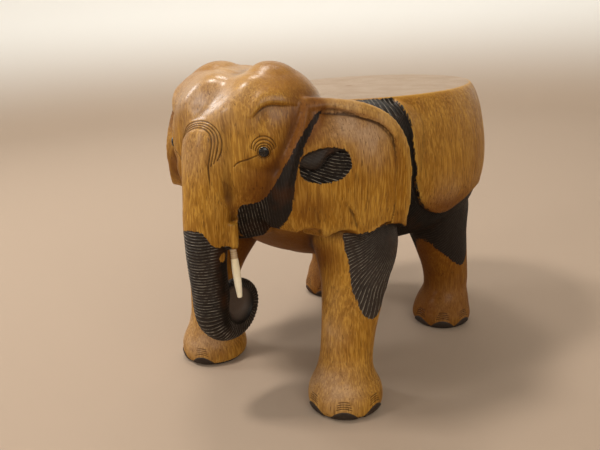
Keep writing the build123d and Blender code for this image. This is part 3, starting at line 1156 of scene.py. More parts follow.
    leg_strokes: tuple[Stroke, ...] = (
        Stroke(((76, -150, 165), (70, -152, 140), (66, -148, 118)), 8.0, -1.6),
        Stroke(((104, -146, 160), (100, -150, 130), (96, -150, 100)), 9.0, 0.9),
        Stroke(((84, -140, 150), (80, -142, 120), (78, -144, 90)), 5.0, -0.9),
        Stroke(((92, 70, 150), (94, 76, 110), (92, 78, 80)), 9.0, 0.9),
    )
    rubbed_places: tuple[SoftSpot, ...] = (
        SoftSpot((14, -184, 317), 30, 0.75), SoftSpot((0, -140, 346), 30, 0.10),
        SoftSpot((103, -124, 291), 19, 0.95), SoftSpot((117, -100, 279), 22, 0.75),
        SoftSpot((124, -90, 262), 18, 0.40), SoftSpot((82, -105, 305), 16, 0.85),
        SoftSpot((109, -147, 32), 22, 0.70), SoftSpot((76, -147, 28), 22, 0.60),
        SoftSpot((96, 78, 30), 26, 0.35), SoftSpot((122, 112, 34), 26, 0.45),
        SoftSpot((2, -203, 266), 18, 0.55), SoftSpot((93, -138, 84), 17, 0.45),
        SoftSpot((133, 30, 188), 22, 0.40), SoftSpot((88, -140, 120), 14, 0.30),
    )
    # Places of painted shade, with darker varnish in some of them.
    shade_and_patina_places: tuple[SoftSpot, ...] = (
        SoftSpot((80, -148, 286), 19, 0.95), SoftSpot((80, -138, 314), 22, 0.65),
        SoftSpot((63, -168, 246), 17, 0.95), SoftSpot((50, -184, 236), 22, 0.70),
        SoftSpot((92, -153, 216), 20, 0.65), SoftSpot((84, -122, 156), 16, 0.60),
        SoftSpot((30, -190, 214), 14, 0.35), SoftSpot((70, -120, 30), 20, 0.35),
        SoftSpot((40, -132, 338), 32, 0.40), SoftSpot((128, 30, 225), 62, 0.22),
    )

    def build(self, effects: SharedEffects) -> list[Object]:
        """Carves the log and dresses it.

        Args:
            effects: the shared node groups.

        Returns:
            The finished piece alone.
        """
        mesh = self._rough_out()
        skin = Skin(mesh)
        skin.melt(3, self._melting(skin))
        skin.sand(10, self._sanding(skin))
        self._level_seat(skin)
        skin.write()
        for wanted in (self._wants_detail, self._wants_finest):
            self._refine(mesh, wanted(skin))
            skin = Skin(mesh)
            skin.sand(3, self._sanding(skin))
            self._level_seat(skin)
            skin.write()
        self._shape_head(skin)
        self._shape_ears(skin)
        self._shape_body(skin)
        patches = self._stain_patches(skin)
        cuts = self._cut_lines(skin)
        self._shape_feet(skin, patches, cuts)
        self._finish_surface(skin, patches, cuts)
        piece = bpy.data.objects.new("carved_elephant", mesh)
        bpy.context.scene.collection.objects.link(piece)
        mesh.materials.clear()
        mesh.materials.append(VarnishedWood().material(effects))
        mesh.polygons.foreach_set("use_smooth", np.ones(len(mesh.polygons), bool))
        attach(piece, ROOT)
        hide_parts("carved_body")
        return [piece]

    def _rough_out(self) -> Mesh:
        """Returns the log's solid as an even skin, its drilled sockets plugged."""
        form = bmesh.new()
        form.from_mesh(bpy.data.objects["carved_body"].data)
        for side in Side:
            for socket, radius, depth in (
                (self.eye_socket, self.eye_radius + 0.4, 6.0),
                (self.tusk_socket, self.tusk_radius + 0.6, 15.0),
            ):
                bmesh.ops.create_cone(
                    form,
                    cap_ends=True,
                    segments=24,
                    radius1=radius * MM,
                    radius2=radius * MM,
                    depth=depth * MM,
                    matrix=socket.standing(side, depth / 2 + 0.2),
                )
        plugged = bpy.data.meshes.new("plugged_log")
        form.to_mesh(plugged)
        form.free()
        block = bpy.data.objects.new("plugged_log", plugged)
        bpy.context.scene.collection.objects.link(block)
        skin = block.modifiers.new("even_skin", "REMESH")
        skin.mode = "VOXEL"
        skin.voxel_size = self.voxel * MM
        graph = bpy.context.evaluated_depsgraph_get()
        mesh = bpy.data.meshes.new_from_object(block.evaluated_get(graph))
        bpy.data.objects.remove(block)
        mesh.name = "carved_elephant"
        return mesh

    def _blank_share(self, skin: Skin) -> np.ndarray:
        """Returns where each vertex lies between the heart, 0, and the ears' outer face, 1."""
        half_width, half_length, centre_y = self.ear_blank
        return np.hypot(skin.spots[:, 0] / half_width, (skin.spots[:, 1] - centre_y) / half_length)

    def _on_ear(self, skin: Skin, ahead: Pair, shell: Pair = (0.90, 0.95)) -> np.ndarray:
        """Finds the ears' outer faces.

        Args:
            skin: the surface.
            ahead: the y where they begin and the y where they fully are, going forward.
            shell: the blank's share where they begin and where they fully are.

        Returns:
            A share from 0 to 1 for each vertex.
        """
        return fade(self._blank_share(skin), *shell) * fade(skin.spots[:, 1], *ahead)

    def _behind_edge(self, skin: Skin) -> np.ndarray:
        """Returns the millimetres behind the drum's front edge, negative ahead of it."""
        return depth_in_patch(skin.side_view, self.drum_edge + self.behind_drum_edge, 40.0)

    def _on_seat(self, skin: Skin, margin: float) -> np.ndarray:
        """Finds the flat top.

        Args:
            skin: the surface.
            margin: millimetres inside the seat's edge.

        Returns:
            Millimetres inside that line, negative outside.
        """
        across = skin.spots[:, 0] / (self.seat_radii[0] - margin)
        along = (skin.spots[:, 1] - self.seat_centre[1]) / (self.seat_radii[1] - margin)
        return (1.0 - np.hypot(across, along)) * self.seat_radii[0]

    def _melting(self, skin: Skin) -> np.ndarray:
        """Returns how freely each vertex is rounded: the seat's edge and the ears' edges stay crisp."""
        freedom = 1.0 - fade(skin.spots[:, 2], 284, 292) * fade(skin.spots[:, 1], -60, -40)
        return freedom * (1.0 - 0.7 * self._on_ear(skin, (-42, -50)))

    def _sanding(self, skin: Skin) -> np.ndarray:
        """Returns how freely each vertex is sanded."""
        crisp = fade(skin.spots[:, 2], 288, 294) * fade(skin.spots[:, 1], -60, -40)
        return 1.0 - 0.9 * crisp

    def _level_seat(self, skin: Skin) -> None:
        """Planes the seat's top flat again."""
        top = (skin.spots[:, 2] > self.seat_height - 0.9) & (self._on_seat(skin, 1.0) > 0)
        skin.spots[top, 2] = self.seat_height

    def _wants_detail(self, skin: Skin) -> np.ndarray:
        """Returns which vertices lie where fine carving comes."""
        quarter = skin.quarter_view
        x, y, z = skin.folded.T
        trunk = (y < -126) & (x < 28) & (z < 203) & (z > 56)
        face = (y < -150) & (z > 170) & (z < 312) & (x < 92)
        hollow = (depth_in_patch(quarter, self.ear_hollow) > -5) & (x > 78) & (y < -95)
        elbow = (depth_in_patch(quarter, self.elbow_patch) > -4) & (x > 84) & (y < -30)
        feet = (z < 30) & (z > 1)
        rim = (distance_to_line(skin.folded, np.array(self.rim_groove, float), 14.0) < 14.0) & (x > 84)
        tail = (x < 15) & (y > 165) & (z < 262) & (z > 140)
        strip = (z > 270) & (z < 297) & (y > -70) & (y < -10) & (x > 45)
        return trunk | face | hollow | elbow | feet | rim | tail | strip

    def _wants_finest(self, skin: Skin) -> np.ndarray:
        """Returns which vertices lie where knife lines run close together."""
        x, y, z = skin.folded.T
        trunk = (y < -130) & (x < 25) & (z < 200) & (z > 62)
        eye = np.linalg.norm(skin.folded - np.array(self.eye_socket.root), axis=1) < 17.0
        front = skin.front_view
        bridge = np.full(len(x), 9.0)
        for line in self._bridge_lines():
            bridge = np.minimum(bridge, distance_to_line(front, line, 9.0))
        bridge = (bridge < 4.0) & (y < -168)
        tear = (distance_to_line(skin.quarter_view, rounded(self.tear_line), 5.0) < 4.0) & (y < -158)
        hollow = (depth_in_patch(skin.quarter_view, self.ear_hollow) > -3) & (x > 78) & (y < -95)
        toes = np.zeros(len(x), bool)
        for foot in (self.front_foot, self.rear_foot):
            for nail in foot.nail_bearings:
                close = np.abs(foot.along_nail(skin.folded, nail)) < foot.crease_half_width + 3.0
                toes |= foot.near(skin.folded) & close & (z > 4.0) & (z < 24.0)
        return trunk | eye | bridge | tear | hollow | toes

    def _bridge_lines(self) -> list[np.ndarray]:
        """Returns the knife lines round the bridge of the trunk, seen from the front."""
        outer, inner = np.array(self.bridge_outer, float), np.array(self.bridge_inner, float)
        lines = [rounded(outer + share * (inner - outer)) for share in self.bridge_steps[:-1]]
        return lines + [rounded(self.bridge_inner + self.bridge_tail)]

    @staticmethod
    def _refine(mesh: Mesh, wanted: np.ndarray) -> None:
        """Halves the mesh's pitch where fine carving comes.

        Args:
            mesh: the mesh.
            wanted: which vertices want it.
        """
        form = bmesh.new()
        form.from_mesh(mesh)
        form.verts.ensure_lookup_table()
        edges = [edge for edge in form.edges if all(wanted[vertex.index] for vertex in edge.verts)]
        bmesh.ops.subdivide_edges(form, edges=edges, cuts=1, use_grid_fill=True)
        form.to_mesh(mesh)
        form.free()

    def _shape_head(self, skin: Skin) -> None:
        """Cuts the crown's valley, the brow, the temples and the bridge of the trunk."""
        y, z = skin.folded[:, 1], skin.folded[:, 2]
        quarter = skin.quarter_view
        valley = distance_to_line(skin.spots, rounded(self.crown_valley), 60.0)
        low = fade(z, 288, 306)
        depth = -4.0 * np.exp(-((valley / 12.0) ** 2)) * low
        banks = 1.5 * np.exp(-(((valley - 24.0) / 10.0) ** 2)) * low
        depth += banks * fade(z, 338, 322) * fade(y, -100, -125)
        brow = rounded(self.brow_line)
        drop = quarter[:, 1] - np.interp(quarter[:, 0], brow[:, 0], brow[:, 1])
        reach = fade(quarter[:, 0], -80, -64) * fade(quarter[:, 0], -28, -48) * fade(y, -120, -132)
        below = np.exp(-((np.minimum(drop, 0) / 19.0) ** 2))
        above = np.exp(-((np.maximum(drop, 0) / 1.3) ** 2))
        depth += -3.8 * np.where(drop < 0, below, above) * reach
        depth += 2.0 * np.exp(-(((drop - 7.5) / 7.0) ** 2)) * reach
        for swell in self.head_swells:
            depth += swell.share(skin.folded)
        for stroke in self.head_strokes:
            depth += stroke.lift(skin.folded, 40.0) * fade(y, -150, -165)
        skin.push(depth)
        front = fade(skin.spots[:, 1], -172, -184)
        outline = self.bridge_inner + self.bridge_tail + self.bridge_foot
        step = fade(depth_in_patch(skin.front_view, outline), -0.3, 3.2) * fade(skin.spots[:, 2], 214, 242)
        skin.push(1.5 * step * front)

    def _shape_ears(self, skin: Skin) -> None:
        """Rolls the ears' rims, sinks their hollows and folds their hems."""
        x, y, z = skin.folded.T
        quarter = skin.quarter_view
        outer = self._on_ear(skin, (-40, -48)) * fade(z, 172, 180) * fade(y, -140, -130)
        groove = rounded(self.rim_groove)
        away = distance_to_line(skin.folded, groove, 45.0)
        face = tuple((float(point[1]), float(point[2])) for point in groove)
        inner = depth_in_patch(skin.side_view, face + self.ahead_of_rim, 45.0) > 0
        strong = 0.50 + 0.50 * fade(z, 215, 288)
        at_root = fade(y, -112, -126)
        cut = np.exp(-((away / (1.9 + 0.9 * at_root)) ** 2)) * (1.9 + 1.2 * at_root)
        shelf = np.where(inner, fade(away, 0.0, 2.0) * np.exp(-((away / 20.0) ** 2)), 0.0)
        roll = np.where(inner, 0.0, np.clip(1.0 - ((away - 6.5) / 6.0) ** 2, 0.0, 1.0))
        depth = (1.2 * roll - cut - 2.2 * shelf) * strong * outer
        on_ear = fade(x, 76, 82) * fade(y, -96, -102)
        hollow = depth_in_patch(quarter, self.ear_hollow)
        depth += -2.6 * fade(hollow, -0.4, 2.4) * on_ear
        crease = rounded(self.ear_crease)
        above = quarter[:, 1] - np.interp(quarter[:, 0], crease[:, 0], crease[:, 1])
        inside = fade(hollow, 0.0, 2.5) * on_ear
        depth += 1.5 * np.where(above > 0, np.exp(-(((above - 6.0) / 5.0) ** 2)), 0.0) * inside
        to_crease = distance_to_line(quarter, crease, 12.0)
        depth += -2.0 * np.exp(-((to_crease / 1.3) ** 2)) * inside
        depth += -0.9 * np.where(above < 0, np.exp(-((to_crease / 6.0) ** 2)), 0.0) * inside
        for line, height in self.hem_folds:
            fold = np.array(line, float)
            order = np.argsort(fold[:, 1])
            ahead = np.interp(quarter[:, 1], fold[order, 1], fold[order, 0]) - quarter[:, 0]
            top = fold[:, 1].max()
            lasting = fade(quarter[:, 1], top + 6.0, top - 16.0) * fade(quarter[:, 1], 180, 194)
            dip = np.where(ahead > -1.0, fade(ahead, -1.0, 2.6) * np.exp(-((ahead / 11.0) ** 2)), 0.0)
            ridge = np.where(ahead <= 0, np.exp(-(((ahead + 3.5) / 4.0) ** 2)), 0.0)
            depth += height * (0.5 * ridge - dip) * lasting * fade(x, 84, 92) * fade(y, -44, -50)
        skin.push(depth)

    def _shape_body(self, skin: Skin) -> None:
        """Undercuts the drum along its edge, hollows the elbows and shapes the legs' muscles."""
        x, y, z = skin.folded.T
        edge = self._behind_edge(skin)
        off_ear = 1.0 - self._on_ear(skin, (-44, -50))
        place = fade(x, 52, 72) * off_ear * fade(z, 297.5, 294.0) * fade(y, 152, 138)
        outside = np.maximum(-edge, 0.0)
        depth = -2.6 * fade(-edge, 0.0, 1.6) * np.exp(-((outside / 17.0) ** 2)) * place
        lip = np.exp(-(((edge - 2.4) / 2.6) ** 2))
        depth += 0.5 * lip * place
        for stroke in self.leg_strokes:
            depth += stroke.lift(skin.folded, 30.0)
        over_ankle = z - 58.5 - 0.04 * (x - 95)
        ankle = np.exp(-(((z - 53.0) / 1.5) ** 2)) + 0.8 * np.exp(-((over_ankle / 1.2) ** 2))
        depth += -0.35 * ankle * fade(y, -90, -110)
        beside = (x - self._tail_width(z) - 1.4) / 1.9
        depth += -2.2 * np.exp(-(beside**2)) * fade(y, 150, 175) * fade(z, 268, 250) * fade(z, 146, 156)
        middle = np.hypot(y - self.curl_centre[0], z - self.curl_centre[1])
        depth += -3.0 * fade(middle, 21.0, 12.0) * fade(x, 29.0, 26.0) * fade(x, 4.0, 9.0)
        skin.push(depth)

    def _tail_width(self, z: np.ndarray) -> np.ndarray:
        """Returns the tail's half width at each height."""
        return read_line(z, self.tail_half_width)

    def _trunk_run(self, skin: Skin) -> np.ndarray:
        """Returns the distance along the trunk from its root, in ring pitches."""
        y, z = skin.spots[:, 1], skin.spots[:, 2]
        centre_y, centre_z = self.curl_centre
        turned = np.arctan2(centre_z - z, centre_y - y)
        turned = np.where(turned < -math.pi / 2, turned + 2 * math.pi, turned)
        straight = (z < centre_z) | (y > centre_y)
        run = np.where(straight, turned * self.curl_reach * 0.62, centre_z - z)
        sag = 1.1 * (skin.spots[:, 0] / 18.0) ** 2
        return (run + sag) / self.ring_pitch

    def _stain_patches(self, skin: Skin) -> dict[str, np.ndarray]:
        """Lays out the dark hair patches.

        Args:
            skin: the surface.

        Returns:
            For each vertex the millimetres inside the stain, the strokes' phase and depth, how
            pale their ridges are rubbed, how thin the stain is and how ragged its edge.
        """
        count = len(skin.spots)
        patches = {name: np.zeros(count) for name in ("phase", "depth", "pale", "thin")}
        patches["inside"] = np.full(count, -30.0)
        patches["ragged"] = np.ones(count)
        for lay_out in (
            self._jaw_hair, self._ear_hair, self._elbow_hair, self._neck_hair, self._thigh_hair,
            self._trunk_hair, self._tail_hair,
        ):
            inside, phase, depth, pale, thin = lay_out(skin)
            wins = inside > patches["inside"]
            for name, values in (
                ("phase", phase), ("depth", depth), ("pale", pale), ("thin", thin), ("inside", inside)
            ):
                patches[name] = np.where(wins, values, patches[name])
        return patches

    def _jaw_hair(self, skin: Skin) -> HairPatch:
        """Lays out the hair under the jaw and up the cheek's edge, shorter on the right side."""
        x, y, z = skin.folded.T
        s = skin.quarter_view[:, 0]
        side_limit = np.where(skin.spots[:, 0] < 0, self.right_jaw_reach - x, 30.0)
        rear_limit = read_line(z, self.jaw_stain_rear) - y
        outline = depth_in_patch(skin.quarter_view, self.jaw_patch)
        inside = np.minimum.reduce([outline, x - 21.0, rear_limit, side_limit])
        combed = fade(s, -58, -74)
        phase = s / 2.7 + 0.035 * (z - 200.0)
        return inside, phase, 0.25 + 0.6 * combed, 0.06 + 0.60 * combed, 0.10 * (1.0 - combed)

    def _ear_hair(self, skin: Skin) -> HairPatch:
        """Lays out the hair in the ear's hollow, combed below the crease only."""
        x, y, z = skin.folded.T
        s = skin.quarter_view[:, 0]
        crease = rounded(self.ear_crease)
        below = fade(z - np.interp(s, crease[:, 0], crease[:, 1]), 0.8, -1.2)
        outline = depth_in_patch(skin.quarter_view, self.ear_hollow)
        inside = np.minimum.reduce([outline, x - 78.0, -98.0 - y])
        phase = (z + 0.10 * s - 0.006 * (s - 12.0) ** 2) / self.ear_stroke_pitch
        return inside, phase, below, 0.10 + 0.75 * below, 0.24 * (1.0 - below)

    def _elbow_hair(self, skin: Skin) -> HairPatch:
        """Lays out the hair on the elbow, fanned out from one point above it."""
        x, y, z = skin.folded.T
        s = skin.quarter_view[:, 0]
        outline = depth_in_patch(skin.quarter_view, self.elbow_patch)
        inside = np.minimum.reduce([outline, x - 84.0, -52.0 - y, 183.0 - z])
        apex_s, apex_z = self.elbow_apex
        spread = np.hypot(apex_z - z, apex_s - s)
        bearing = np.degrees(np.arctan2(apex_z - z, apex_s - s)) + 1.2 * np.sin(spread / 9.0)
        outward = fade(spread, 34, 66)
        return inside, bearing / 2.6, 0.35 + 0.65 * outward, 0.20 + 0.75 * outward, 0.22 + 0.10 * outward

    def _neck_hair(self, skin: Skin) -> HairPatch:
        """Lays out the hair on the neck, ahead of the drum and behind the ear, with its combed top."""
        y, z = skin.spots[:, 1], skin.spots[:, 2]
        s = skin.quarter_view[:, 0]
        edge = self._behind_edge(skin)
        front_limit = y - read_line(z, self.neck_stain_front)
        seat_rim = self._on_seat(skin, 0.0) > -3.0
        below_top = np.where(seat_rim, self.seat_height - 0.8, self.seat_height + 4.5) - z
        inside = np.minimum.reduce([-edge, front_limit, 20.0 - y, z - 178.0, below_top])
        ear_shell = (self._blank_share(skin) > 0.885) & (y < -52)
        inside = np.where((self._on_ear(skin, *self.ear_rear_face) > 0.5) | ear_shell, -4.0, inside)
        top = fade(z, 278, 286)
        phase = np.where(top > 0.5, (s + 0.65 * z) / 4.3, edge / 3.0)
        return inside, phase, 0.5 + 0.5 * top, 0.14 + 0.72 * top, 0.0

    def _thigh_hair(self, skin: Skin) -> HairPatch:
        """Lays out the plain dark patch below the drum's edge and on the thigh."""
        x, y, z = skin.folded.T
        outline = depth_in_patch(skin.side_view, self.thigh_patch)
        inside = np.minimum.reduce([outline, x - 58.0, -self._behind_edge(skin)])
        on_ear = self._on_ear(skin, *self.ear_rear_face) > 0.5
        inside = np.where(on_ear & (z > 176), -8.0, inside)
        return inside, (0.80 * y - 0.60 * z) / 3.4, 0.45, 0.10, 0.14 * fade(y, 40, 80)

    def _trunk_hair(self, skin: Skin) -> HairPatch:
        """Lays out the trunk's rings, strong outside its bend and faint in the curl's bowl."""
        x, y, z = skin.folded.T
        top_limit = read_line(skin.spots[:, 0], self.trunk_stain_top) - z
        rear_limit = read_line(z, self.trunk_stain_rear) - y
        from_spot = np.linalg.norm((skin.folded - np.array(self.trunk_spot)) * (0.8, 1.0, 1.0), axis=1)
        inside = np.minimum.reduce([top_limit, 26.5 - x, rear_limit])
        inside = np.minimum(inside, from_spot - self.trunk_spot_radius)
        facing, inner = self._trunk_facing(skin)
        rolled = fade(inner, 55.0, 40.0) * fade(y, -200, -190)
        ringed = np.maximum(fade(facing, 0.12, 0.60), 0.85 * rolled * fade(facing, -0.45, -0.20))
        ringed = ringed * fade(inner, 15.0, 20.0)
        bowl = fade(inner, 19.0, 14.0) * fade(y, -205, -198)
        pale = 0.04 + (0.90 - 0.45 * rolled) * ringed
        return inside, self._trunk_run(skin), 0.10 + 0.90 * ringed, pale, np.maximum(bowl, 0.16 * ringed)

    def _tail_hair(self, skin: Skin) -> HairPatch:
        """Lays out the tuft at the tail's end."""
        x, y, z = skin.folded.T
        beside = self._tail_width(z) + 0.8 - x
        inside = np.minimum.reduce([198.0 - z - 1.2 * x, beside, y - 165.0, z - 150.0])
        return inside, x / 2.4 + 0.01 * z, 0.9, 0.55, 0.0

    def _trunk_facing(self, skin: Skin) -> tuple[np.ndarray, np.ndarray]:
        """Finds which way the trunk's skin faces.

        Args:
            skin: the surface.

        Returns:
            How squarely each vertex faces outward from the trunk's bend, from -1 to 1, and its
            distance from the middle of the curl.
        """
        y, z = skin.spots[:, 1], skin.spots[:, 2]
        centre_y, centre_z = self.curl_centre
        normals = skin.normals()
        inner = np.hypot(y - centre_y, z - centre_z)
        curled = (z < centre_z) | (y > centre_y)
        across = np.where(curled, (y - centre_y) / np.maximum(inner, 1.0), -1.0)
        upward = np.where(curled, (z - centre_z) / np.maximum(inner, 1.0), 0.0)
        facing = normals[:, 1] * across + normals[:, 2] * upward
        return facing, np.where(curled | (y > -200), inner, 60.0)

    def _cut_lines(self, skin: Skin) -> np.ndarray:
        """Returns the distance from each vertex to the nearest thin knife line."""
        x, y, z = skin.folded.T
        far = self.knife_reach
        cut = np.full(len(x), far)
        face = y < -168.0
        tail = fade(z, 250, 232) * 0.5
        for line in self._bridge_lines():
            away = distance_to_line(skin.front_view, line, far) + tail
            cut = np.where(face, np.minimum(cut, away), cut)
        quarter = skin.quarter_view
        brow = distance_to_line(quarter, rounded(self.brow_line[1:-1]), far)
        brow = brow + 0.36 + 0.7 * fade(quarter[:, 0], -56, -38)
        cut = np.where(y < -125.0, np.minimum(cut, brow), cut)
        rim = distance_to_line(skin.folded, rounded(self.rim_groove), far)
        rim = rim * (0.60 - 0.24 * fade(y, -100, -118)) + 0.7 * fade(z, 294, 276)
        cut = np.where((x > 90) & (y < -60), np.minimum(cut, rim), cut)
        tear = distance_to_line(quarter, rounded(self.tear_line), far)
        cut = np.where(y < -158.0, np.minimum(cut, tear * 0.75), cut)
        offset = skin.folded - np.array(self.eye_socket.root)
        sideways = offset @ np.array(self.eye_across)
        near = np.linalg.norm(offset, axis=1) < 17.0
        arcs = [(radius, raised, 4, 178) for radius, raised in self.eyelids]
        arcs += [(self.eye_radius + 0.6, 0.0, -180, 180), (7.4, 0.3, -150, -20)]
        for radius, raised, first, last in arcs:
            upward = offset[:, 2] - raised
            angle = np.degrees(np.arctan2(upward, sideways))
            middle, half = (first + last) / 2, (last - first) / 2
            past = np.maximum(np.abs(angle - middle) - half, 0.0) * math.pi / 180 * radius
            away = np.hypot(np.hypot(sideways, upward) - radius, past) + (0.35 if last < 0 else 0.0)
            cut = np.where(near, np.minimum(cut, away), cut)
        crease = distance_to_line(quarter, rounded(self.ear_crease), far) - 0.3
        return np.where((x > 76) & (y < -100), np.minimum(cut, np.maximum(crease, 0)), cut)

    def _shape_feet(self, skin: Skin, patches: dict[str, np.ndarray], cuts: np.ndarray) -> None:
        """Raises the toenails and marks them, their creases and the soles.

        Args:
            skin: the surface.
            patches: the dark patches, which gain the nails and the soles.
            cuts: the knife lines, which gain the creases.
        """
        z = skin.folded[:, 2]
        depth = np.zeros(len(z))
        for foot in (self.front_foot, self.rear_foot):
            near = foot.near(skin.folded)
            for nail in foot.nail_bearings:
                along = foot.along_nail(skin.folded, nail)
                top = foot.nail_height - foot.nail_drop * (along / foot.nail_half_width) ** 2
                inside = np.minimum((top - z) * 0.85, foot.nail_half_width + 1.0 - np.abs(along))
                inside = np.where(near, inside, -30.0)
                depth += foot.nail_proud * fade(inside, -0.4, 1.4)
                wins = inside > patches["inside"]
                patches["inside"] = np.maximum(patches["inside"], inside)
                for name, value in (("depth", 0.0), ("pale", 0.0), ("thin", 0.40)):
                    patches[name] = np.where(wins & near, value, patches[name])
                patches["ragged"] = np.where(near & (inside > -4.0), 0.10, patches["ragged"])
                for number in range(1, foot.creases + 1):
                    level = foot.nail_height + 0.8 + foot.crease_pitch * number
                    bow = foot.nail_drop * (0.95 - 0.10 * number)
                    arc = level - bow * (along / foot.nail_half_width) ** 2
                    over = np.maximum(np.abs(along) - (foot.crease_half_width - 0.8 * number), 0.0)
                    away = np.hypot((z - arc) * 0.9, over)
                    cuts[:] = np.where(near, np.minimum(cuts, away + 0.05), cuts)
            sole = np.where(near, 3.0 - z, -30.0)
            patches["inside"] = np.maximum(patches["inside"], sole)
            patches["ragged"] = np.where(near & (z < 6.0), 0.10, patches["ragged"])
        skin.push(depth)

    def _finish_surface(self, skin: Skin, patches: dict[str, np.ndarray], cuts: np.ndarray) -> None:
        """Cuts strokes and lines into the skin and keeps what the finish needs, painted shade and highlights
        among it.

        Args:
            skin: the surface.
            patches: the dark patches.
            cuts: the knife lines.
        """
        x, y, z = skin.folded.T
        smooth = skin.spots.copy()
        for _ in range(12):
            smooth = 0.5 * (smooth + skin.mean_of_neighbours(smooth))
        normals = skin.normals()
        sunk = ((smooth - skin.spots) * normals).sum(1)
        broad = skin.sunk_below(9.0)
        on_trunk = (y < -130) & (x < 27) & (z < 200)
        stained = fade(patches["inside"], -0.5, 1.5)
        trough = np.abs(np.sin(math.pi * patches["phase"]))
        cut_depth = np.where(on_trunk, self.ring_depth, 0.5)
        skin.push(-cut_depth * (1.0 - (1.0 - trough) ** 1.5) * patches["depth"] * stained)
        skin.push(-0.55 * np.exp(-((cuts / 0.7) ** 2)))

        on_seat = fade(self._on_seat(skin, 0.6), 0.0, 1.2) * fade(z, 296.4, 297.4)
        # Painted shade: the rear legs under the drum, faces turned downward and the insides of the legs are
        # darkened.
        rear_leg = fade(y, 15, 50) * fade(z, 172, 140) * (0.75 + 0.25 * fade(x, 105, 75))
        under = fade(z, 205, 172) * fade(normals[:, 2], 0.15, -0.45) * fade(z, 100, 130)
        inside_leg = fade(x, 88, 66) * fade(z, 175, 150) * fade(x, 30, 45) * fade(z, 20, 50)
        places = sum(place.share(skin.folded) for place in self.shade_and_patina_places)
        shade_and_patina = 1.1 * rear_leg + 0.95 * under + 0.55 * inside_leg + places
        # Painted shade along the cheek's edge beside the jaw's stain.
        cheek_edge = np.array(self.jaw_patch[self.cheek_edge_start :], float)
        beside = distance_to_line(skin.quarter_view, cheek_edge, 40.0)
        shade = 0.75 * np.exp(-((beside / 11.0) ** 2))
        shade_and_patina = shade_and_patina + shade * fade(skin.spots[:, 0], 30, 45) * fade(y, -120, -135)
        shade_and_patina = np.clip(shade_and_patina, 0.0, 1.0)
        rubbed = sum(place.share(skin.folded) for place in self.rubbed_places)
        polish = fade(z, 285, 305) * fade(y, -105, -120) + 0.35 * fade(normals[:, 2], -0.2, 0.5)
        from_knot = np.linalg.norm((skin.spots - np.array(self.knot)) * (1.0, 0.6, 1.0), axis=1)
        # Proud edges and broad bulges: rubbed wear with a painted highlight.
        proud = np.clip(-sunk / 0.7 - 0.15, 0.0, 1.0) + 0.35 * fade(-broad, 2.2, 5.0)
        for name, values in (
            ("stain_mm", patches["inside"]),
            ("stroke_phase", patches["phase"]),
            ("stroke_depth", patches["depth"]),
            ("ridge_pale", patches["pale"]),
            ("stain_thin", patches["thin"]),
            ("ragged_edge", patches["ragged"]),
            ("cut_mm", cuts),
            # hollow: painted shade in small hollows, from the surface's curvature.
            ("hollow", np.clip(sunk / 0.9, 0.0, 1.0)),
            ("edge_wear_and_highlight", proud),
            # painted shade in broad hollows, such as the crown's valley and under the brow.
            ("painted_broad_shade", fade(broad, -0.3, 3.4)),
            ("across_grain", fade(np.abs(normals[:, 2]), 0.40, 0.90)),
            ("seat", on_seat),
            # painted shade under and between the parts, with darker varnish in places.
            ("shade_and_patina", shade_and_patina),
            ("rubbed", np.clip(rubbed, 0.0, 1.0)),
            ("knot", np.exp(-((from_knot / 2.6) ** 2))),
            ("polish", np.clip(polish, 0.0, 1.0) * (1.0 - 0.7 * shade_and_patina)),
        ):
            skin.store(name, values)
        skin.write()


# ---------------------------------------------------------------- set-in pieces
def finished(form: bmesh.types.BMesh, name: str) -> Object:
    """Turns a form into a smooth shaded piece in the scene.

    Args:
        form: the form, which is used up.
        name: the piece's name.

    Returns:
        The piece.
    """
    mesh = bpy.data.meshes.new(name)
    form.to_mesh(mesh)
    form.free()
    mesh.polygons.foreach_set("use_smooth", np.ones(len(mesh.polygons), bool))
    piece = bpy.data.objects.new(name, mesh)
    bpy.context.scene.collection.objects.link(piece)
    return piece


def lathed(name: str, rings: Sequence[Ring], place: Matrix, segments: int) -> Object:
    """Builds a closed round piece from rings along its axis.

    Args:
        name: the piece's name.
        rings: height along the axis, radius and sideways shift of each ring, in millimetres.
        place: where the axis stands.
        segments: points in a ring.

    Returns:
        The piece, smooth shaded and linked to the scene.
    """
    form = bmesh.new()
    loops = []
    for height, radius, (shift_a, shift_b) in rings:
        loop = []
        for step in range(segments):
            turn = 2 * math.pi * step / segments
            across, along = shift_a + radius * math.cos(turn), shift_b + radius * math.sin(turn)
            corner = Vector((across, along, height)) * MM
            loop.append(form.verts.new(place @ corner))
        loops.append(loop)
    for lower, upper in zip(loops, loops[1:]):
        for step in range(segments):
            after = (step + 1) % segments
            form.faces.new((lower[step], lower[after], upper[after], upper[step]))
    form.faces.new(list(reversed(loops[0])))
    form.faces.new(loops[-1])
    bmesh.ops.recalc_face_normals(form, faces=form.faces)
    return finished(form, name)


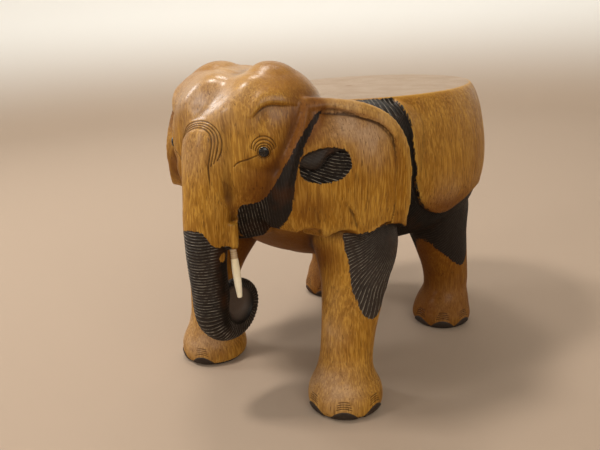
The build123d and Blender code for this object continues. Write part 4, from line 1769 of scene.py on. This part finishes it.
@dataclass
class Tusks:
    """The pair of cream tusks, each with a ringed root."""

    socket: Socket = TUSK_SOCKET
    length: float = 46.8
    root_radius: float = 3.1
    widest_radius: float = 3.9
    tip_radius: float = 2.4
    bow: float = 0.5
    steps: int = 72
    tip_steps: int = 8
    segments: int = 32
    stub: float = 8.5
    stub_rings: tuple[float, ...] = (2.6, 4.6, 6.6, 8.4)

    def build(self, effects: SharedEffects) -> list[Object]:
        """Builds and dresses both tusks.

        Args:
            effects: the shared node groups.

        Returns:
            The two pieces.
        """
        ivory = RubbedIvory().material(effects)
        return [self._tusk(side, ivory) for side in Side]

    def _rings(self) -> list[tuple[float, float, Pair]]:
        """Returns the rings of one tusk from its root to its tip."""
        rings: list[Ring] = [(-6.0, self.root_radius * 0.9, (0.0, 0.0))]
        tip_length = self.tip_radius * 0.7
        shaft_end = self.length - tip_length
        radii = (self.root_radius, 3.35, self.widest_radius, 3.45, self.tip_radius)
        for step in range(self.steps + 1):
            share = step / self.steps
            height = shaft_end * share
            belly = float(np.interp(share, (0.0, 0.2, 0.45, 0.75, 1.0), radii))
            for groove in self.stub_rings:
                belly -= 0.28 * math.exp(-(((height - groove) / 0.45) ** 2))
            rings.append((height, belly, (0.0, self.bow * math.sin(math.pi * share))))
        for step in range(1, self.tip_steps + 1):
            turn = math.pi / 2 * step / self.tip_steps
            radius = max(self.tip_radius * math.cos(turn) ** 0.8, 0.05)
            rings.append((shaft_end + tip_length * math.sin(turn), radius, (0.0, 0.0)))
        return rings

    def _tusk(self, side: Side, ivory: Material) -> Object:
        """Builds one tusk.

        Args:
            side: left or right.
            ivory: its material.

        Returns:
            The piece.
        """
        rings = self._rings()
        piece = lathed(f"cream_tusk_{side.word}", rings, self.socket.standing(side), self.segments)
        piece.data.materials.append(ivory)
        heights = np.repeat([ring[0] for ring in rings], self.segments)
        dirt = fade(heights, self.stub + 0.8, self.stub - 0.8) * 0.62
        for groove in self.stub_rings:
            dirt = np.maximum(dirt, 0.95 * np.exp(-(((heights - groove) / 0.55) ** 2)))
        attribute = piece.data.attributes.new("root_dirt", "FLOAT", "POINT")
        attribute.data.foreach_set("value", dirt.astype(np.float32))
        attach(piece, ROOT)
        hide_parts(f"tusk_{side.word}")
        return piece


@dataclass
class Eyes:
    """The pair of black beads."""

    socket: Socket = EYE_SOCKET
    radius: float = 4.9
    proud: float = 2.4
    depth: float = 4.0
    dome_steps: int = 14
    segments: int = 48

    def build(self, effects: SharedEffects) -> list[Object]:
        """Builds and dresses both eyes.

        Args:
            effects: the shared node groups.

        Returns:
            The two pieces.
        """
        bead = BlackBead().material(effects)
        pieces = []
        for side in Side:
            rings: list[Ring] = [
                (-self.depth, self.radius - 0.6, (0.0, 0.0)),
                (0.0, self.radius, (0.0, 0.0)),
            ]
            for step in range(1, self.dome_steps + 1):
                turn = math.pi / 2 * step / self.dome_steps
                radius = max(self.radius * math.cos(turn), 0.04)
                rings.append((self.proud * math.sin(turn), radius, (0.0, 0.0)))
            piece = lathed(f"bead_eye_{side.word}", rings, self.socket.standing(side), self.segments)
            piece.data.materials.append(bead)
            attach(piece, ROOT)
            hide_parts(f"eye_{side.word}")
            pieces.append(piece)
        return pieces


@dataclass
class FootPads:
    """The four thin black pads under the soles, dressed as they are."""

    ends: tuple[str, ...] = ("front", "rear")

    def build(self, effects: SharedEffects) -> list[Object]:
        """Dresses the pads.

        Args:
            effects: the shared node groups.

        Returns:
            The four pieces.
        """
        rubber = BlackPad().material(effects)
        pads = []
        for end in self.ends:
            for side in Side:
                pad = bpy.data.objects[f"foot_pad_{end}_{side.word}"]
                if not pad.material_slots:
                    pad.data.materials.append(rubber)
                for slot in pad.material_slots:
                    slot.material = rubber
                pads.append(pad)
        return pads


# ---------------------------------------------------------------- studio
@dataclass(frozen=True)
class Lamp:
    """A soft lamp. Places are metres and power is watts."""

    name: str
    place: Triple
    size: Pair
    power: float
    colour: Triple
    aim: Triple = (0.0, -0.02, 0.20)

    def hang(self) -> None:
        """Hangs the lamp and turns it to its aim."""
        light = bpy.data.lights.new(self.name, "AREA")
        light.shape = "RECTANGLE"
        light.size, light.size_y = self.size
        light.energy = self.power
        light.color = self.colour
        holder = bpy.data.objects.new(self.name, light)
        holder.location = self.place
        facing = Vector(self.aim) - Vector(self.place)
        holder.rotation_euler = facing.to_track_quat("-Z", "Y").to_euler()
        bpy.context.scene.collection.objects.link(holder)


@dataclass
class Studio:
    """Pale sweep, soft lamps and the camera."""

    floor_radius: float = 1.9
    sweep_radius: float = 0.9
    sweep_steps: int = 12
    wall_height: float = 2.6
    segments: int = 96
    camera_place: Triple = (0.42934, -0.58370, 0.37525)
    camera_right: Triple = (0.78151, 0.62204, -0.04796)
    camera_up: Triple = (-0.15376, 0.26653, 0.95148)
    camera_back: Triple = (0.60465, -0.73622, 0.30394)
    lens: float = 38.43
    sensor: float = 36.0
    floor_paint: Colour = (0.400, 0.305, 0.228, 1.0)
    wall_paint: Colour = (0.880, 0.870, 0.830, 1.0)
    room_light: Colour = (1.0, 0.96, 0.90, 1.0)
    room_strength: float = 0.36
    lamps: tuple[Lamp, ...] = (
        Lamp("front_ceiling_lamp", (-0.66, -0.62, 1.95), (0.30, 0.30), 19.0, (1.0, 0.95, 0.88)),
        Lamp("rear_ceiling_lamp", (-0.62, 0.34, 1.95), (0.30, 0.30), 8.0, (1.0, 0.95, 0.88)),
        Lamp("side_window", (-1.80, -0.65, 1.40), (0.36, 0.50), 11.0, (0.95, 0.98, 1.0)),
        Lamp("front_window", (-0.85, -1.90, 1.10), (0.36, 0.50), 7.0, (1.0, 0.98, 0.95)),
        Lamp("soft_fill", (1.55, -1.05, 1.35), (1.3, 1.1), 14.0, (1.0, 0.95, 0.87)),
        Lamp("wall_wash", (-0.80, 0.95, 2.30), (1.2, 0.6), 22.0, (1.0, 0.98, 0.95), (-1.90, 2.20, 0.50)),
    )

    def build(self) -> None:
        """Builds the sweep, the lamps and the camera."""
        self._sweep()
        self._lamps()
        self._camera()

    def _sweep(self) -> None:
        """Builds a round pale floor that turns up into a wall."""
        profile = [(0.6, 0.0), (1.2, 0.0), (self.floor_radius, 0.0)]
        for step in range(1, self.sweep_steps + 1):
            turn = math.pi / 2 * step / self.sweep_steps
            radius = self.floor_radius + self.sweep_radius * math.sin(turn)
            profile.append((radius, self.sweep_radius * (1 - math.cos(turn))))
        profile.append((self.floor_radius + self.sweep_radius, self.wall_height))
        form = bmesh.new()
        centre = form.verts.new((0.0, 0.0, 0.0))
        turns = [2 * math.pi * step / self.segments for step in range(self.segments)]
        loops = [
            [form.verts.new((radius * math.cos(turn), radius * math.sin(turn), height)) for turn in turns]
            for radius, height in profile
        ]
        for step in range(self.segments):
            form.faces.new((centre, loops[0][step], loops[0][(step + 1) % self.segments]))
        for lower, upper in zip(loops, loops[1:]):
            for step in range(self.segments):
                after = (step + 1) % self.segments
                form.faces.new((lower[step], upper[step], upper[after], lower[after]))
        sweep = finished(form, "pale_sweep")
        material, graph, shader = blank_material("pale_paint")
        height = graph.add("ShaderNodeSeparateXYZ")
        graph.join(graph.place(), height.inputs[0])
        paint = graph.mix(graph.ramp(height.outputs["Z"], 0.0, 0.45), self.floor_paint, self.wall_paint)
        graph.join(paint, shader.inputs["Base Color"])
        shader.inputs["Specular IOR Level"].default_value = 0.2
        shader.inputs["Roughness"].default_value = 0.85
        sweep.data.materials.append(material)

    def _lamps(self) -> None:
        """Hangs the lamps and sets the dim light all round."""
        for lamp in self.lamps:
            lamp.hang()
        world = bpy.data.worlds.new("soft_room")
        world.use_nodes = True
        background = world.node_tree.nodes["Background"]
        background.inputs["Color"].default_value = self.room_light
        background.inputs["Strength"].default_value = self.room_strength
        bpy.context.scene.world = world

    def _camera(self) -> None:
        """Places the camera."""
        camera = bpy.data.cameras.new("camera")
        camera.sensor_width = self.sensor
        camera.lens = self.lens
        camera.clip_start = 0.01
        holder = bpy.data.objects.new("camera", camera)
        turn = Matrix((self.camera_right, self.camera_up, self.camera_back)).transposed().to_4x4()
        holder.matrix_world = Matrix.Translation(self.camera_place) @ turn
        bpy.context.scene.collection.objects.link(holder)
        bpy.context.scene.camera = holder
        bpy.context.scene.view_settings.view_transform = "Standard"


def main() -> None:
    """Builds the stool and the studio in order."""
    logging.basicConfig(level=logging.INFO, format="%(message)s")
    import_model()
    effects = SharedEffects()
    Studio().build()
    makers = {"carving": Carving(), "tusks": Tusks(), "eyes": Eyes(), "foot pads": FootPads()}
    for name, maker in makers.items():
        for piece in maker.build(effects):
            log.info("%s: %s has %d faces", name, piece.name, len(piece.data.polygons))


if __name__ == "__main__":
    main()
